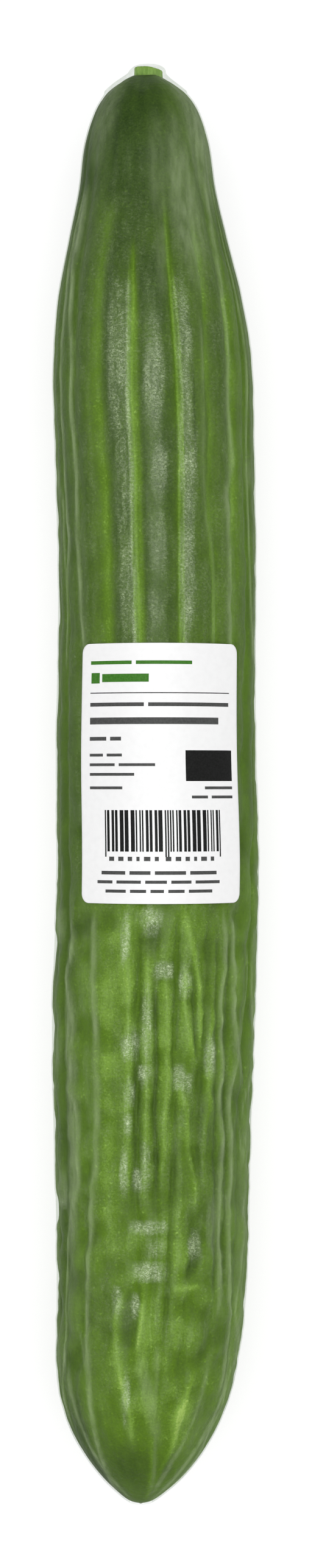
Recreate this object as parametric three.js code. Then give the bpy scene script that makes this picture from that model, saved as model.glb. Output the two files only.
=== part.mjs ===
// A whole cucumber lying down, in its clear shrink film, with a paper label round its upper side.
//
// Millimetres, +Z up. The fruit lies along Y with its stem at +Y. The origin is on the surface that it
// lies on, in the middle of the small flat spot that carries it. Angles round the fruit are in degrees
// from straight up, positive towards +X.
//
// The fruit is one skin: an outline of radii along its length, turned round a slightly bowed axis, with
// ribs that wander along it and furrows between them. The film follows the ribs but spans the furrows,
// tents over the stub of the stem, and is drawn up to a small round eyelet at the blossom end.
import * as THREE from "three";

// The fruit's outline over its ribs, from the blossom end to the rim of the stem's hollow: place, radius.
const OUTLINE = [
  [-153.2, 0],
  [-152.6, 2.2],
  [-150.8, 4.7],
  [-147.2, 8.5],
  [-142.0, 12.5],
  [-135.5, 16.0],
  [-127.0, 18.5],
  [-112.0, 19.6],
  [-85.0, 20.3],
  [-50.0, 21.3],
  [-30.0, 21.2],
  [-15.0, 21.2],
  [30.0, 20.7],
  [70.0, 20.9],
  [89.0, 20.9],
  [103.0, 19.4],
  [115.5, 16.7],
  [127.0, 14.2],
  [136.0, 13.0],
  [142.8, 10.9],
  [146.8, 8.4],
  [149.1, 5.9],
  [150.4, 3.9],
];
// How far the axis stands to the side of the middle, along the fruit: place, offset towards +X.
const SIDE_BOW = [
  [-154, -3.3],
  [-147, -2.9],
  [-136, -2.6],
  [-125, -2.0],
  [-110, -1.0],
  [-95, -0.7],
  [-72, -0.7],
  [-50, -0.4],
  [-18, 0.4],
  [8, 0.0],
  [45, 0.3],
  [72, -0.3],
  [92, -0.8],
  [110, -1.5],
  [130, -1.9],
  [145, -2.0],
  [149.5, -2.3],
  [152.5, -1.7],
];
const END_LIFT = 2.4; // how far each end of the axis rises above its middle
const HALF_LENGTH = 153;
const FLAT_DEPTH = 1.1; // how far the round underside is pressed in where it lies
// It touches at four low points, round its weight: on both edges of the flat, at these two places.
const LOW_PLACES = [-49, 13];
const LOW_PLACE_HALF = 4; // half the length of each
const FLAT_MIDDLE_HALF = 4; // how far from the middle of the flat its edges start
const FLAT_HEIGHT = 0.2; // how far the rest of the flat stands off the surface

// Where each rib of the upper side runs, as its angle at these places along the fruit.
const RIB_PLACES = [-150, -120, -90, -60, -30, 30, 70, 110, 150];
const UPPER_RIBS = [
  [-92, -88, -88, -88, -88, -90, -90, -90, -92],
  [-78, -73, -72, -72, -72, -75, -76, -76, -76],
  [-64, -58, -53, -55, -56, -58, -61, -62, -61],
  [-50, -41, -37, -35, -38, -41, -43, -44, -44],
  [-30, -20, -16, -14, -17, -17, -21, -22, -24],
  [-14, -5, -3, -5, -5, -2, -1, 0, -4],
  [2, 4, 6, 7, 7, 26, 28, 26, 18],
  [20, 15, 17, 18, 22, 44, 40, 42, 40],
  [40, 30, 34, 33, 40, 58, 56, 60, 60],
  [60, 50, 53, 52, 60, 78, 76, 74, 78],
  [80, 74, 74, 74, 80, 94, 92, 92, 96],
];
const UNDER_RIBS = 9; // ribs on the underside, spread evenly between the outer two above
const UNDER_SWAY = 3; // degrees that they wander to each side
const UNDER_SWAY_LENGTH = 85;
const UNDER_SWAY_SHIFT = 2.1; // how far the sway of one rib runs ahead of the next one's, in radians
const FURROW_DEPTH = 1.1;
const FURROW_FADE = 42; // length at each end over which the furrows run out

// The stub of the stem, cut a little aslant, in a hollow of the fruit's end.
const STUB_RADIUS = 3.1;
const STUB_ROOT_RADIUS = 3.25;
const STUB_ROOT = 149;
const STUB_WAIST = 150.9;
const STUB_TOP = 152.1;
const STUB_CORNERS = 5;
const STUB_CORNER_HEIGHT = 0.14;
const STUB_CUT_SLOPE = 0.1;
const STUB_CHAMFER = 0.45;
const STUB_SIDE = -1.6; // where its axis stands, towards +X
const HOLLOW_RADIUS = 3.65;
const HOLLOW_RIM = 149.4;
const HOLLOW_FLOOR = 148.6;

const GAP = 0.3; // between pieces that touch
const FILM = 0.3; // thickness of the film
const FILM_SAG = 0.45; // share of a furrow's depth that the film sinks into it
// Degrees from straight down within which the film is taut, and beyond which it sinks in fully.
const TAUT_UNDER = [14, 34];
const EYELET_RADIUS = 2.2;
// What the film spans from the shoulder of the fruit up over the stub: place, radius.
const TENT = [
  [147.2, 8.4],
  [148.8, 6.5],
  [150.1, 4.8],
  [151.1, 3.75],
  [152, 3.3],
  [152.5, 2.4],
  [152.5, 0],
];

const LABEL_WIDTH = 37;
const LABEL_HEIGHT = 54;
const LABEL_CORNER = 2;
const LABEL_THICKNESS = 0.3;
const LABEL_PLACE = 2.2; // its middle along the fruit
const LABEL_ANGLE = 2.6; // its middle round the fruit

// How finely each surface is divided.
const RINGS = 47;
const END_CROWDING = 0.55;
const FRUIT_STEPS = [1 / 6, 1 / 2, 5 / 6]; // shares of the way from one rib to the next
const FILM_STEPS = [0, 1 / 2];
const STUB_STEPS = 20;
const LABEL_COLUMNS = 14;
const LABEL_ROWS = 9;
const CORNER_ROWS = 3;

const { degToRad, clamp, lerp, smoothstep } = THREE.MathUtils;

// A smooth curve through a short table: a cubic between entries, with each slope from its neighbours.
function through(places, values) {
  const last = places.length - 1;
  const slopes = values.map((_, i) => {
    const before = Math.max(i - 1, 0);
    const after = Math.min(i + 1, last);
    return (values[after] - values[before]) / (places[after] - places[before]);
  });
  return (place) => {
    const at = clamp(place, places[0], places[last]);
    const i = clamp(places.findLastIndex((p) => p <= at), 0, last - 1);
    const span = places[i + 1] - places[i];
    const t = (at - places[i]) / span;
    const ahead = t ** 2 * (3 - 2 * t);
    const leave = t * (1 - t) ** 2 * span * slopes[i];
    const arrive = t ** 2 * (t - 1) * span * slopes[i + 1];
    return lerp(values[i], values[i + 1], ahead) + leave + arrive;
  };
}

const column = (table, i) => table.map((row) => row[i]);
const sideBow = through(column(SIDE_BOW, 0), column(SIDE_BOW, 1));

// The outline as two curves over the distance along it.
const outlineSteps = [0];
OUTLINE.slice(1).forEach(([y, r], i) => {
  outlineSteps.push(outlineSteps[i] + Math.hypot(y - OUTLINE[i][0], r - OUTLINE[i][1]));
});
const outlineLength = outlineSteps.at(-1);
const outlinePlace = through(outlineSteps, column(OUTLINE, 0));
const outlineRadius = through(outlineSteps, column(OUTLINE, 1));
const radiusAt = through(column(OUTLINE, 0), column(OUTLINE, 1));

const restHeight = radiusAt(0) + GAP + FILM - FLAT_DEPTH;
const axisHeight = (y) => restHeight + END_LIFT * (y / HALF_LENGTH) ** 2;

// The angles of all the ribs at one place, in order round the fruit, with the first again at the end.
const upperRibAngles = UPPER_RIBS.map((angles) => through(RIB_PLACES, angles));
function ribAngles(y) {
  const upper = upperRibAngles.map((angle) => angle(y));
  const from = upper.at(-1);
  const to = upper[0] + 360;
  const under = Array.from({ length: UNDER_RIBS }, (_, i) => {
    const phase = (2 * Math.PI * y) / UNDER_SWAY_LENGTH + UNDER_SWAY_SHIFT * i;
    return lerp(from, to, (i + 1) / (UNDER_RIBS + 1)) + UNDER_SWAY * Math.sin(phase);
  });
  return [...upper, ...under, to];
}

// How deep the furrows are at one place: they run out towards both ends.
function furrowDepth(y) {
  const fromEnd = Math.min(y - OUTLINE[0][0], OUTLINE.at(-1)[0] - y);
  return FURROW_DEPTH * smoothstep(fromEnd, 0, FURROW_FADE);
}

// The height of the film's underside where it is pressed flat: nothing at the low points.
function flatHeight(x, y) {
  const atPlace = LOW_PLACES.some((place) => Math.abs(y - place) < LOW_PLACE_HALF);
  return atPlace && Math.abs(x) > FLAT_MIDDLE_HALF ? 0 : FLAT_HEIGHT;
}

// The point at a place, radius and angle round the axis, no lower than the flat gives there.
function pointRound(y, radius, angle, flat = () => 0) {
  const turn = degToRad(angle);
  const x = sideBow(y) + radius * Math.sin(turn);
  const z = axisHeight(y) + radius * Math.cos(turn);
  return new THREE.Vector3(x, y, Math.max(z, flat(x, y)));
}

// One ring of points round the fruit. Its columns follow the ribs and sink into the furrows between them,
// by the share of the furrow's depth that the sinking gives at their angle.
function ring(y, radius, steps, sinking, flat) {
  const angles = ribAngles(y);
  const depth = furrowDepth(y);
  return angles.slice(0, -1).flatMap((angle, i) =>
    steps.map((step) => {
      const at = lerp(angle, angles[i + 1], step);
      const furrow = Math.sin(Math.PI * step) ** 2;
      return pointRound(y, radius - sinking(at) * depth * furrow, at, flat);
    }),
  );
}

// Where the rings stand along the outline: closer together at both ends.
const ringStations = Array.from({ length: RINGS }, (_, i) => {
  const t = (i + 1) / RINGS;
  return outlineLength * (t - (END_CROWDING * Math.sin(2 * Math.PI * t)) / (2 * Math.PI));
});

// A closed surface through rings of points, in order, with one point that closes each end.
function closedRings(rings, first, last) {
  const around = rings[0].length;
  const points = [first, ...rings.flat(), last];
  const at = (row, i) => 1 + row * around + (i % around);
  const faces = [];
  for (let i = 0; i < around; i++) {
    faces.push(0, at(0, i + 1), at(0, i));
    faces.push(points.length - 1, at(rings.length - 1, i), at(rings.length - 1, i + 1));
    for (let row = 0; row < rings.length - 1; row++) {
      faces.push(at(row, i), at(row, i + 1), at(row + 1, i + 1));
      faces.push(at(row, i), at(row + 1, i + 1), at(row + 1, i));
    }
  }
  const geometry = new THREE.BufferGeometry().setFromPoints(points).setIndex(faces);
  geometry.computeVertexNormals();
  return geometry;
}

// The same path of places and radii, moved outwards by the lift, square to itself.
function lifted(path, lift) {
  return path.map(([y, radius], i) => {
    const [yBefore, radiusBefore] = path[Math.max(i - 1, 0)];
    const [yAfter, radiusAfter] = path[Math.min(i + 1, path.length - 1)];
    const length = Math.hypot(yAfter - yBefore, radiusAfter - radiusBefore);
    const alongRadius = (radiusAfter - radiusBefore) / length;
    const alongPlace = (yAfter - yBefore) / length;
    return [y - lift * alongRadius, radius + lift * alongPlace];
  });
}

function fruitGeometry() {
  const fully = () => 1;
  const flat = () => FLAT_HEIGHT + FILM + GAP;
  const rings = ringStations.map((s) =>
    ring(outlinePlace(s), outlineRadius(s), FRUIT_STEPS, fully, flat),
  );
  // The hollow that the stub stands in, round the stub's own axis.
  const hollow = [HOLLOW_RIM, HOLLOW_FLOOR].map((y) =>
    rings.at(-1).map((point) => {
      const turn = Math.atan2(point.x - STUB_SIDE, point.z - axisHeight(y));
      const x = STUB_SIDE + HOLLOW_RADIUS * Math.sin(turn);
      return new THREE.Vector3(x, y, axisHeight(y) + HOLLOW_RADIUS * Math.cos(turn));
    }),
  );
  const tip = pointRound(OUTLINE[0][0], 0, 0);
  const bottom = new THREE.Vector3(STUB_SIDE, HOLLOW_FLOOR, axisHeight(HOLLOW_FLOOR));
  return closedRings([...rings, ...hollow], tip, bottom);
}

function stubGeometry() {
  const levels = [
    [STUB_ROOT, STUB_ROOT_RADIUS - STUB_CHAMFER / 2],
    [STUB_ROOT + STUB_CHAMFER, STUB_ROOT_RADIUS],
    [STUB_WAIST, STUB_RADIUS],
    [STUB_TOP - STUB_CHAMFER / 2, STUB_RADIUS],
    [STUB_TOP, STUB_RADIUS - STUB_CHAMFER],
  ];
  const height = axisHeight(STUB_TOP);
  const aslant = (x, y) => y - STUB_CUT_SLOPE * (x - STUB_SIDE) * smoothstep(y, STUB_ROOT, STUB_TOP);
  const rings = levels.map(([y, radius]) =>
    Array.from({ length: STUB_STEPS }, (_, i) => {
      const turn = (2 * Math.PI * i) / STUB_STEPS;
      const corner = STUB_CORNER_HEIGHT * (Math.cos(STUB_CORNERS * turn) - 1);
      const x = STUB_SIDE + (radius + corner) * Math.sin(turn);
      return new THREE.Vector3(x, aslant(x, y), height + (radius + corner) * Math.cos(turn));
    }),
  );
  const middle = (y) => new THREE.Vector3(STUB_SIDE, y, height);
  return closedRings(rings, middle(STUB_ROOT), middle(STUB_TOP));
}

// The film is one closed sheet with two faces: inwards from the middle of the cap over the stub to the
// eyelet, and back along the outside.
function filmGeometry() {
  const isCovered = (s) => s > EYELET_RADIUS && outlinePlace(s) < TENT[0][0];
  const stations = [EYELET_RADIUS, ...ringStations.filter(isCovered)];
  const path = [...stations.map((s) => [outlinePlace(s), outlineRadius(s)]), ...TENT];
  const sinking = (angle) => FILM_SAG * smoothstep(Math.abs(angle - 180), ...TAUT_UNDER);
  const innerFlat = (x, y) => flatHeight(x, y) + FILM;
  const face = (lift, flat) =>
    lifted(path, lift)
      .slice(0, -1)
      .map(([y, radius]) => ring(y, radius, FILM_STEPS, sinking, flat));
  const capMiddle = (lift) => {
    const y = TENT.at(-1)[0] + lift;
    return new THREE.Vector3(sideBow(y), y, axisHeight(y));
  };
  const rings = [...face(GAP, innerFlat).reverse(), ...face(GAP + FILM, flatHeight)];
  return closedRings(rings, capMiddle(GAP), capMiddle(GAP + FILM));
}

// The label's rows: place along the fruit from its middle, and half its width there.
function labelRows() {
  const straight = LABEL_HEIGHT / 2 - LABEL_CORNER;
  const corner = Array.from({ length: CORNER_ROWS }, (_, i) => {
    const turn = (Math.PI / 2) * (1 - i / CORNER_ROWS);
    const halfWidth = LABEL_WIDTH / 2 - LABEL_CORNER * (1 - Math.cos(turn));
    return [straight + LABEL_CORNER * Math.sin(turn), halfWidth];
  });
  const body = Array.from({ length: LABEL_ROWS + 1 }, (_, i) => [
    lerp(straight, -straight, i / LABEL_ROWS),
    LABEL_WIDTH / 2,
  ]);
  return [...corner, ...body, ...corner.map(([y, half]) => [-y, half]).reverse()];
}

function labelGeometry() {
  const rows = labelRows();
  const inner = GAP + FILM + GAP;
  const points = rows.flatMap(([y, half]) => {
    const place = LABEL_PLACE + y;
    const face = (lift) =>
      Array.from({ length: LABEL_COLUMNS + 1 }, (_, i) => {
        const radius = radiusAt(place) + lift;
        const turn = lerp(-half, half, i / LABEL_COLUMNS) / (radiusAt(LABEL_PLACE) + inner);
        return pointRound(place, radius, LABEL_ANGLE + THREE.MathUtils.radToDeg(turn));
      });
    return [...face(inner + LABEL_THICKNESS), ...face(inner).reverse()];
  });
  // Each row runs across the outer face and back along the inner one.
  const around = 2 * (LABEL_COLUMNS + 1);
  const faces = [];
  const quad = (a, b, c, d) => faces.push(a, b, c, a, c, d);
  for (let row = 0; row < rows.length - 1; row++) {
    for (let i = 0; i < around; i++) {
      const next = (i + 1) % around;
      quad(row * around + i, (row + 1) * around + i, (row + 1) * around + next, row * around + next);
    }
  }
  const lastRow = (rows.length - 1) * around;
  for (let i = 0; i < LABEL_COLUMNS; i++) {
    const under = around - 1 - i;
    quad(i, i + 1, under - 1, under);
    quad(lastRow + i, lastRow + under, lastRow + under - 1, lastRow + i + 1);
  }
  const geometry = new THREE.BufferGeometry().setFromPoints(points).setIndex(faces);
  geometry.computeVertexNormals();
  return geometry;
}

function piece(name, geometry, look) {
  const mesh = new THREE.Mesh(geometry, new THREE.MeshStandardMaterial({ metalness: 0, ...look }));
  mesh.name = name;
  return mesh;
}

const cucumber = new THREE.Group();
cucumber.add(
  piece("cucumber_fruit", fruitGeometry(), { color: 0x4a7029, roughness: 0.45 }),
  piece("stem_stub", stubGeometry(), { color: 0x6fa23a, roughness: 0.6 }),
  piece("shrink_film", filmGeometry(), {
    color: 0xf4f6f2,
    roughness: 0.15,
    transparent: true,
    opacity: 0.2,
  }),
  piece("paper_label", labelGeometry(), { color: 0xf7f7f5, roughness: 0.55 }),
);

export default cucumber;
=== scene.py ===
"""A whole cucumber in clear shrink film, with a paper label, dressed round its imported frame.

The model is in metres, +Z up. The fruit lies along Y with its stem at +Y. Shapes are worked out in
millimetres, with angles round the fruit in degrees from straight up, positive towards +X.
"""

import logging
from dataclasses import dataclass, field
from enum import Enum

import bpy
import numpy as np
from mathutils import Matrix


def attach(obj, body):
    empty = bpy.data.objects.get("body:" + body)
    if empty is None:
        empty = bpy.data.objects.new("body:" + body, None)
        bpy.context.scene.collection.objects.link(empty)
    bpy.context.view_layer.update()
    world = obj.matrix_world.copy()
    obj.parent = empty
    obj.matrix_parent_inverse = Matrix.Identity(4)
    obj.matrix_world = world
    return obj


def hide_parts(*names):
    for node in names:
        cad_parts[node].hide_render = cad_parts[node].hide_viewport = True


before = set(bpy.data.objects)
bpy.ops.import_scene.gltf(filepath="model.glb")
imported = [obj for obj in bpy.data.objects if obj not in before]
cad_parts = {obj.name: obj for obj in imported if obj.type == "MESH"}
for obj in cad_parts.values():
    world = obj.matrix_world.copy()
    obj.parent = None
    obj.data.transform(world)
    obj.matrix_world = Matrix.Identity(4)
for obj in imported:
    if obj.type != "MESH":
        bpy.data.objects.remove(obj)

log = logging.getLogger("cucumber")

MM = 0.001
FULL_TURN = 360.0

# The outline, the bow and the ribs repeat the part's own source. The outline: place, radius.
OUTLINE = np.array([
    [-153.2, 0], [-152.6, 2.2], [-150.8, 4.7], [-147.2, 8.5], [-142.0, 12.5], [-135.5, 16.0],
    [-127.0, 18.5], [-112.0, 19.6], [-85.0, 20.3], [-50.0, 21.3], [-30.0, 21.2], [-15.0, 21.2],
    [30.0, 20.7], [70.0, 20.9], [89.0, 20.9], [103.0, 19.4], [115.5, 16.7], [127.0, 14.2],
    [136.0, 13.0], [142.8, 10.9], [146.8, 8.4], [149.1, 5.9], [150.4, 3.9],
])
# The axis's bow: place, how far it lies towards +X.
SIDE_BOW = np.array([
    [-154, -3.3], [-147, -2.9], [-136, -2.6], [-125, -2.0], [-110, -1.0], [-95, -0.7], [-72, -0.7],
    [-50, -0.4], [-18, 0.4], [8, 0.0], [45, 0.3], [72, -0.3], [92, -0.8], [110, -1.5], [130, -1.9],
    [145, -2.0], [149.5, -2.3], [152.5, -1.7],
])
# The axis's height: how much it rises to both ends, half of the length, its height in the middle.
END_LIFT = 2.4
HALF_LENGTH = 153.0
REST_HEIGHT = 20.47
# The upper ribs: places along the fruit, and the angle of each rib at them, from left to right.
RIB_PLACES = np.array([-150, -120, -90, -60, -30, 30, 70, 110, 150])
UPPER_RIBS = np.array([
    [-92, -88, -88, -88, -88, -90, -90, -90, -92],
    [-78, -73, -72, -72, -72, -75, -76, -76, -76],
    [-64, -58, -53, -55, -56, -58, -61, -62, -61],
    [-50, -41, -37, -35, -38, -41, -43, -44, -44],
    [-30, -20, -16, -14, -17, -17, -21, -22, -24],
    [-14, -5, -3, -5, -5, -2, -1, 0, -4],
    [2, 4, 6, 7, 7, 26, 28, 26, 18],
    [20, 15, 17, 18, 22, 44, 40, 42, 40],
    [40, 30, 34, 33, 40, 58, 56, 60, 60],
    [60, 50, 53, 52, 60, 78, 76, 74, 78],
    [80, 74, 74, 74, 80, 94, 92, 92, 96],
])
# The ribs under the fruit: how many, how far they sway, over what length, and how much later each
# one does than the one before it.
UNDER_RIBS = 9
UNDER_SWAY = 3.0
UNDER_SWAY_LENGTH = 85.0
UNDER_SWAY_SHIFT = 2.1
# The deepest furrows' depth, and the length at each end over which they run out.
FURROW_DEPTH = 1.1
FURROW_FADE = 42.0

# Angles off the top line over which the sides and the underside come in.
SIDES = (45.0, 75.0)
UNDERSIDE = (100.0, 150.0)

# Each pattern of waves: how many sines, and their lengths as shares of the usual one.
WAVE_COUNT = 36
WAVE_LENGTHS = (0.6, 1.9)

# How far past its last points a line runs out, and how far before them it starts to.
LINE_OVERRUN = 2.0
LINE_FADE = 5.0

# The film's tent from the shoulder of the fruit up over the stub: place, radius.
TENT = np.array([
    [147.2, 8.4], [148.8, 6.5], [150.1, 4.8], [151.1, 3.75], [152.0, 3.3], [152.5, 2.4], [152.5, 0],
])
EYELET_RADIUS = 2.2

# The label: its middle along the fruit and round it, its size, and how far past its ends and its
# sides the film is pressed down with it: millimetres, and degrees from and to.
LABEL_PLACE = 2.2
LABEL_ANGLE = 2.6
LABEL_WIDTH = 37.0
LABEL_HEIGHT = 54.0
PRESSED_ENDS = 3.0
PRESSED_SIDES = (0.5, 6.0)


def smooth(values: np.ndarray, start: float, end: float) -> np.ndarray:
    """Goes from 0 at start to 1 at end, which may lie under it, as 3t squared less 2t cubed."""
    t = np.clip((values - start) / (end - start), 0.0, 1.0)
    return t * t * (3.0 - 2.0 * t)


def curve(places: np.ndarray, values: np.ndarray, at: np.ndarray) -> np.ndarray:
    """A smooth curve through a short table: a cubic between entries, slopes from the neighbours.

    Args:
        places: the rising places of the entries.
        values: their values.
        at: where the curve is wanted, of any shape.

    Returns:
        The curve's values there.
    """
    places = np.asarray(places, float)
    values = np.asarray(values, float)
    last = len(places) - 1
    before = np.maximum(np.arange(last + 1) - 1, 0)
    after = np.minimum(np.arange(last + 1) + 1, last)
    slopes = (values[after] - values[before]) / (places[after] - places[before])
    at = np.clip(at, places[0], places[last])
    i = np.clip(np.searchsorted(places, at, side="right") - 1, 0, last - 1)
    span = places[i + 1] - places[i]
    t = (at - places[i]) / span
    ahead = t * t * (3.0 - 2.0 * t)
    leave = t * (1.0 - t) ** 2 * span * slopes[i]
    arrive = t * t * (t - 1.0) * span * slopes[i + 1]
    return values[i] + ahead * (values[i + 1] - values[i]) + leave + arrive


def turn_from(angle: np.ndarray, middle: np.ndarray | float) -> np.ndarray:
    """How far angles are from a middle one, from minus half a turn to half a turn."""
    return (angle - middle + FULL_TURN / 2) % FULL_TURN - FULL_TURN / 2


@dataclass(frozen=True)
class Waves:
    """Seeded irregular waves on the skin: a sum of sines in random directions.

    Each sine runs along the fruit and round it, with a whole number of periods round, so that the
    pattern closes.

    Attributes:
        height: about how high they are, in the unit of what they change.
        length: the usual wavelength along the fruit, in millimetres.
        turns: the usual number of periods round it.
        seed: the seed of the draw.
    """

    height: float
    length: float
    turns: float
    seed: int

    def at(self, y: np.ndarray, angle: np.ndarray) -> np.ndarray:
        """The height of the waves.

        Args:
            y: places along the fruit.
            angle: angles round it, of the same shape.

        Returns:
            The height there, of the same shape.
        """
        draw = np.random.default_rng(self.seed)
        lengths = self.length * draw.uniform(*WAVE_LENGTHS, WAVE_COUNT)
        periods = np.round(draw.normal(0.0, self.turns, WAVE_COUNT))
        shifts = draw.uniform(0.0, 2 * np.pi, WAVE_COUNT)
        total = np.zeros_like(y)
        for length, period, shift in zip(lengths, periods, shifts):
            total += np.sin(2 * np.pi * y / length + period * np.radians(angle) + shift)
        return self.height * total / np.sqrt(WAVE_COUNT)


# How the ribs sway, in degrees, and how the skin lifts and sinks between them, in millimetres.
RIB_SWAY = Waves(1.6, 24.0, 4.0, 11)
LUMPS = (Waves(0.36, 11.0, 8.0, 13), Waves(0.20, 5.0, 14.0, 14))

# How the skin's green changes: in patches, and in slow streaks along it.
PATCHES = (Waves(0.05, 55.0, 6.0, 21), Waves(0.035, 22.0, 12.0, 23))
STREAKS = Waves(0.03, 60.0, 16.0, 22)


@dataclass(frozen=True)
class Line:
    """A line that runs along the skin or the film: a furrow, a ridge, a crease or a fold.

    Attributes:
        path: its points, as pairs of a place along the fruit and an angle round it.
        width: its half width in millimetres, where it has fallen to a third.
        height: how far it stands out, or in where negative, in millimetres.
        tone: on the skin, how much lighter it is, in places painted highlight where lighter and
        painted shade where darker; on the film, its milkiness, partly a painted sheen, or how
        closely it clings, which also sets its painted glints.
    """

    path: tuple[tuple[float, float], ...]
    width: float
    height: float
    tone: float = 0.0

    def weight(self, y: np.ndarray, angle: np.ndarray, radius: np.ndarray) -> np.ndarray:
        """A bell curve across the line, which fades out over its last few millimetres.

        Args:
            y: places along the fruit.
            angle: angles round it.
            radius: the fruit's radius there.

        Returns:
            From 0, off the line, to 1 on it.
        """
        points = np.array(sorted(self.path))
        middle = curve(points[:, 0], points[:, 1], y)
        across = np.radians(turn_from(angle, middle)) * radius / self.width
        low, high = points[0, 0], points[-1, 0]
        fade = smooth(y, low - LINE_OVERRUN, low + LINE_FADE)
        fade = fade * smooth(y, high + LINE_OVERRUN, high - LINE_FADE)
        return np.exp(-across * across) * fade


@dataclass(frozen=True)
class Spot:
    """A patch on the skin or the film: a lump, a dent, a pale place or a glossy one.

    Attributes:
        y: its place along the fruit.
        angle: its angle round it.
        half_length: its half length along the fruit in millimetres, where it has fallen to a third.
        half_width: its half width round the fruit in millimetres.
        height: how far it stands out, or in where negative, in millimetres.
        tone: on the skin, how much lighter it is, in places painted highlight where lighter and
        painted shade where darker; on the film, its milkiness, partly a painted sheen, or how
        closely it clings, which also sets its painted glints.
        lean: how far its middle line moves round the fruit, in millimetres for each along it.
    """

    y: float
    angle: float
    half_length: float
    half_width: float
    height: float = 0.0
    tone: float = 0.0
    lean: float = 0.0

    def weight(self, y: np.ndarray, angle: np.ndarray, radius: np.ndarray) -> np.ndarray:
        """A flat-topped bell: the exponential of minus the square of the squared distance.

        Args:
            y: places along the fruit.
            angle: angles round it.
            radius: the fruit's radius there.

        Returns:
            From 0, off the patch, to 1 in its middle.
        """
        along = y - self.y
        across = np.radians(turn_from(angle, self.angle)) * radius - self.lean * along
        off_squared = (along / self.half_length) ** 2 + (across / self.half_width) ** 2
        return np.exp(-off_squared * off_squared)


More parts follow.
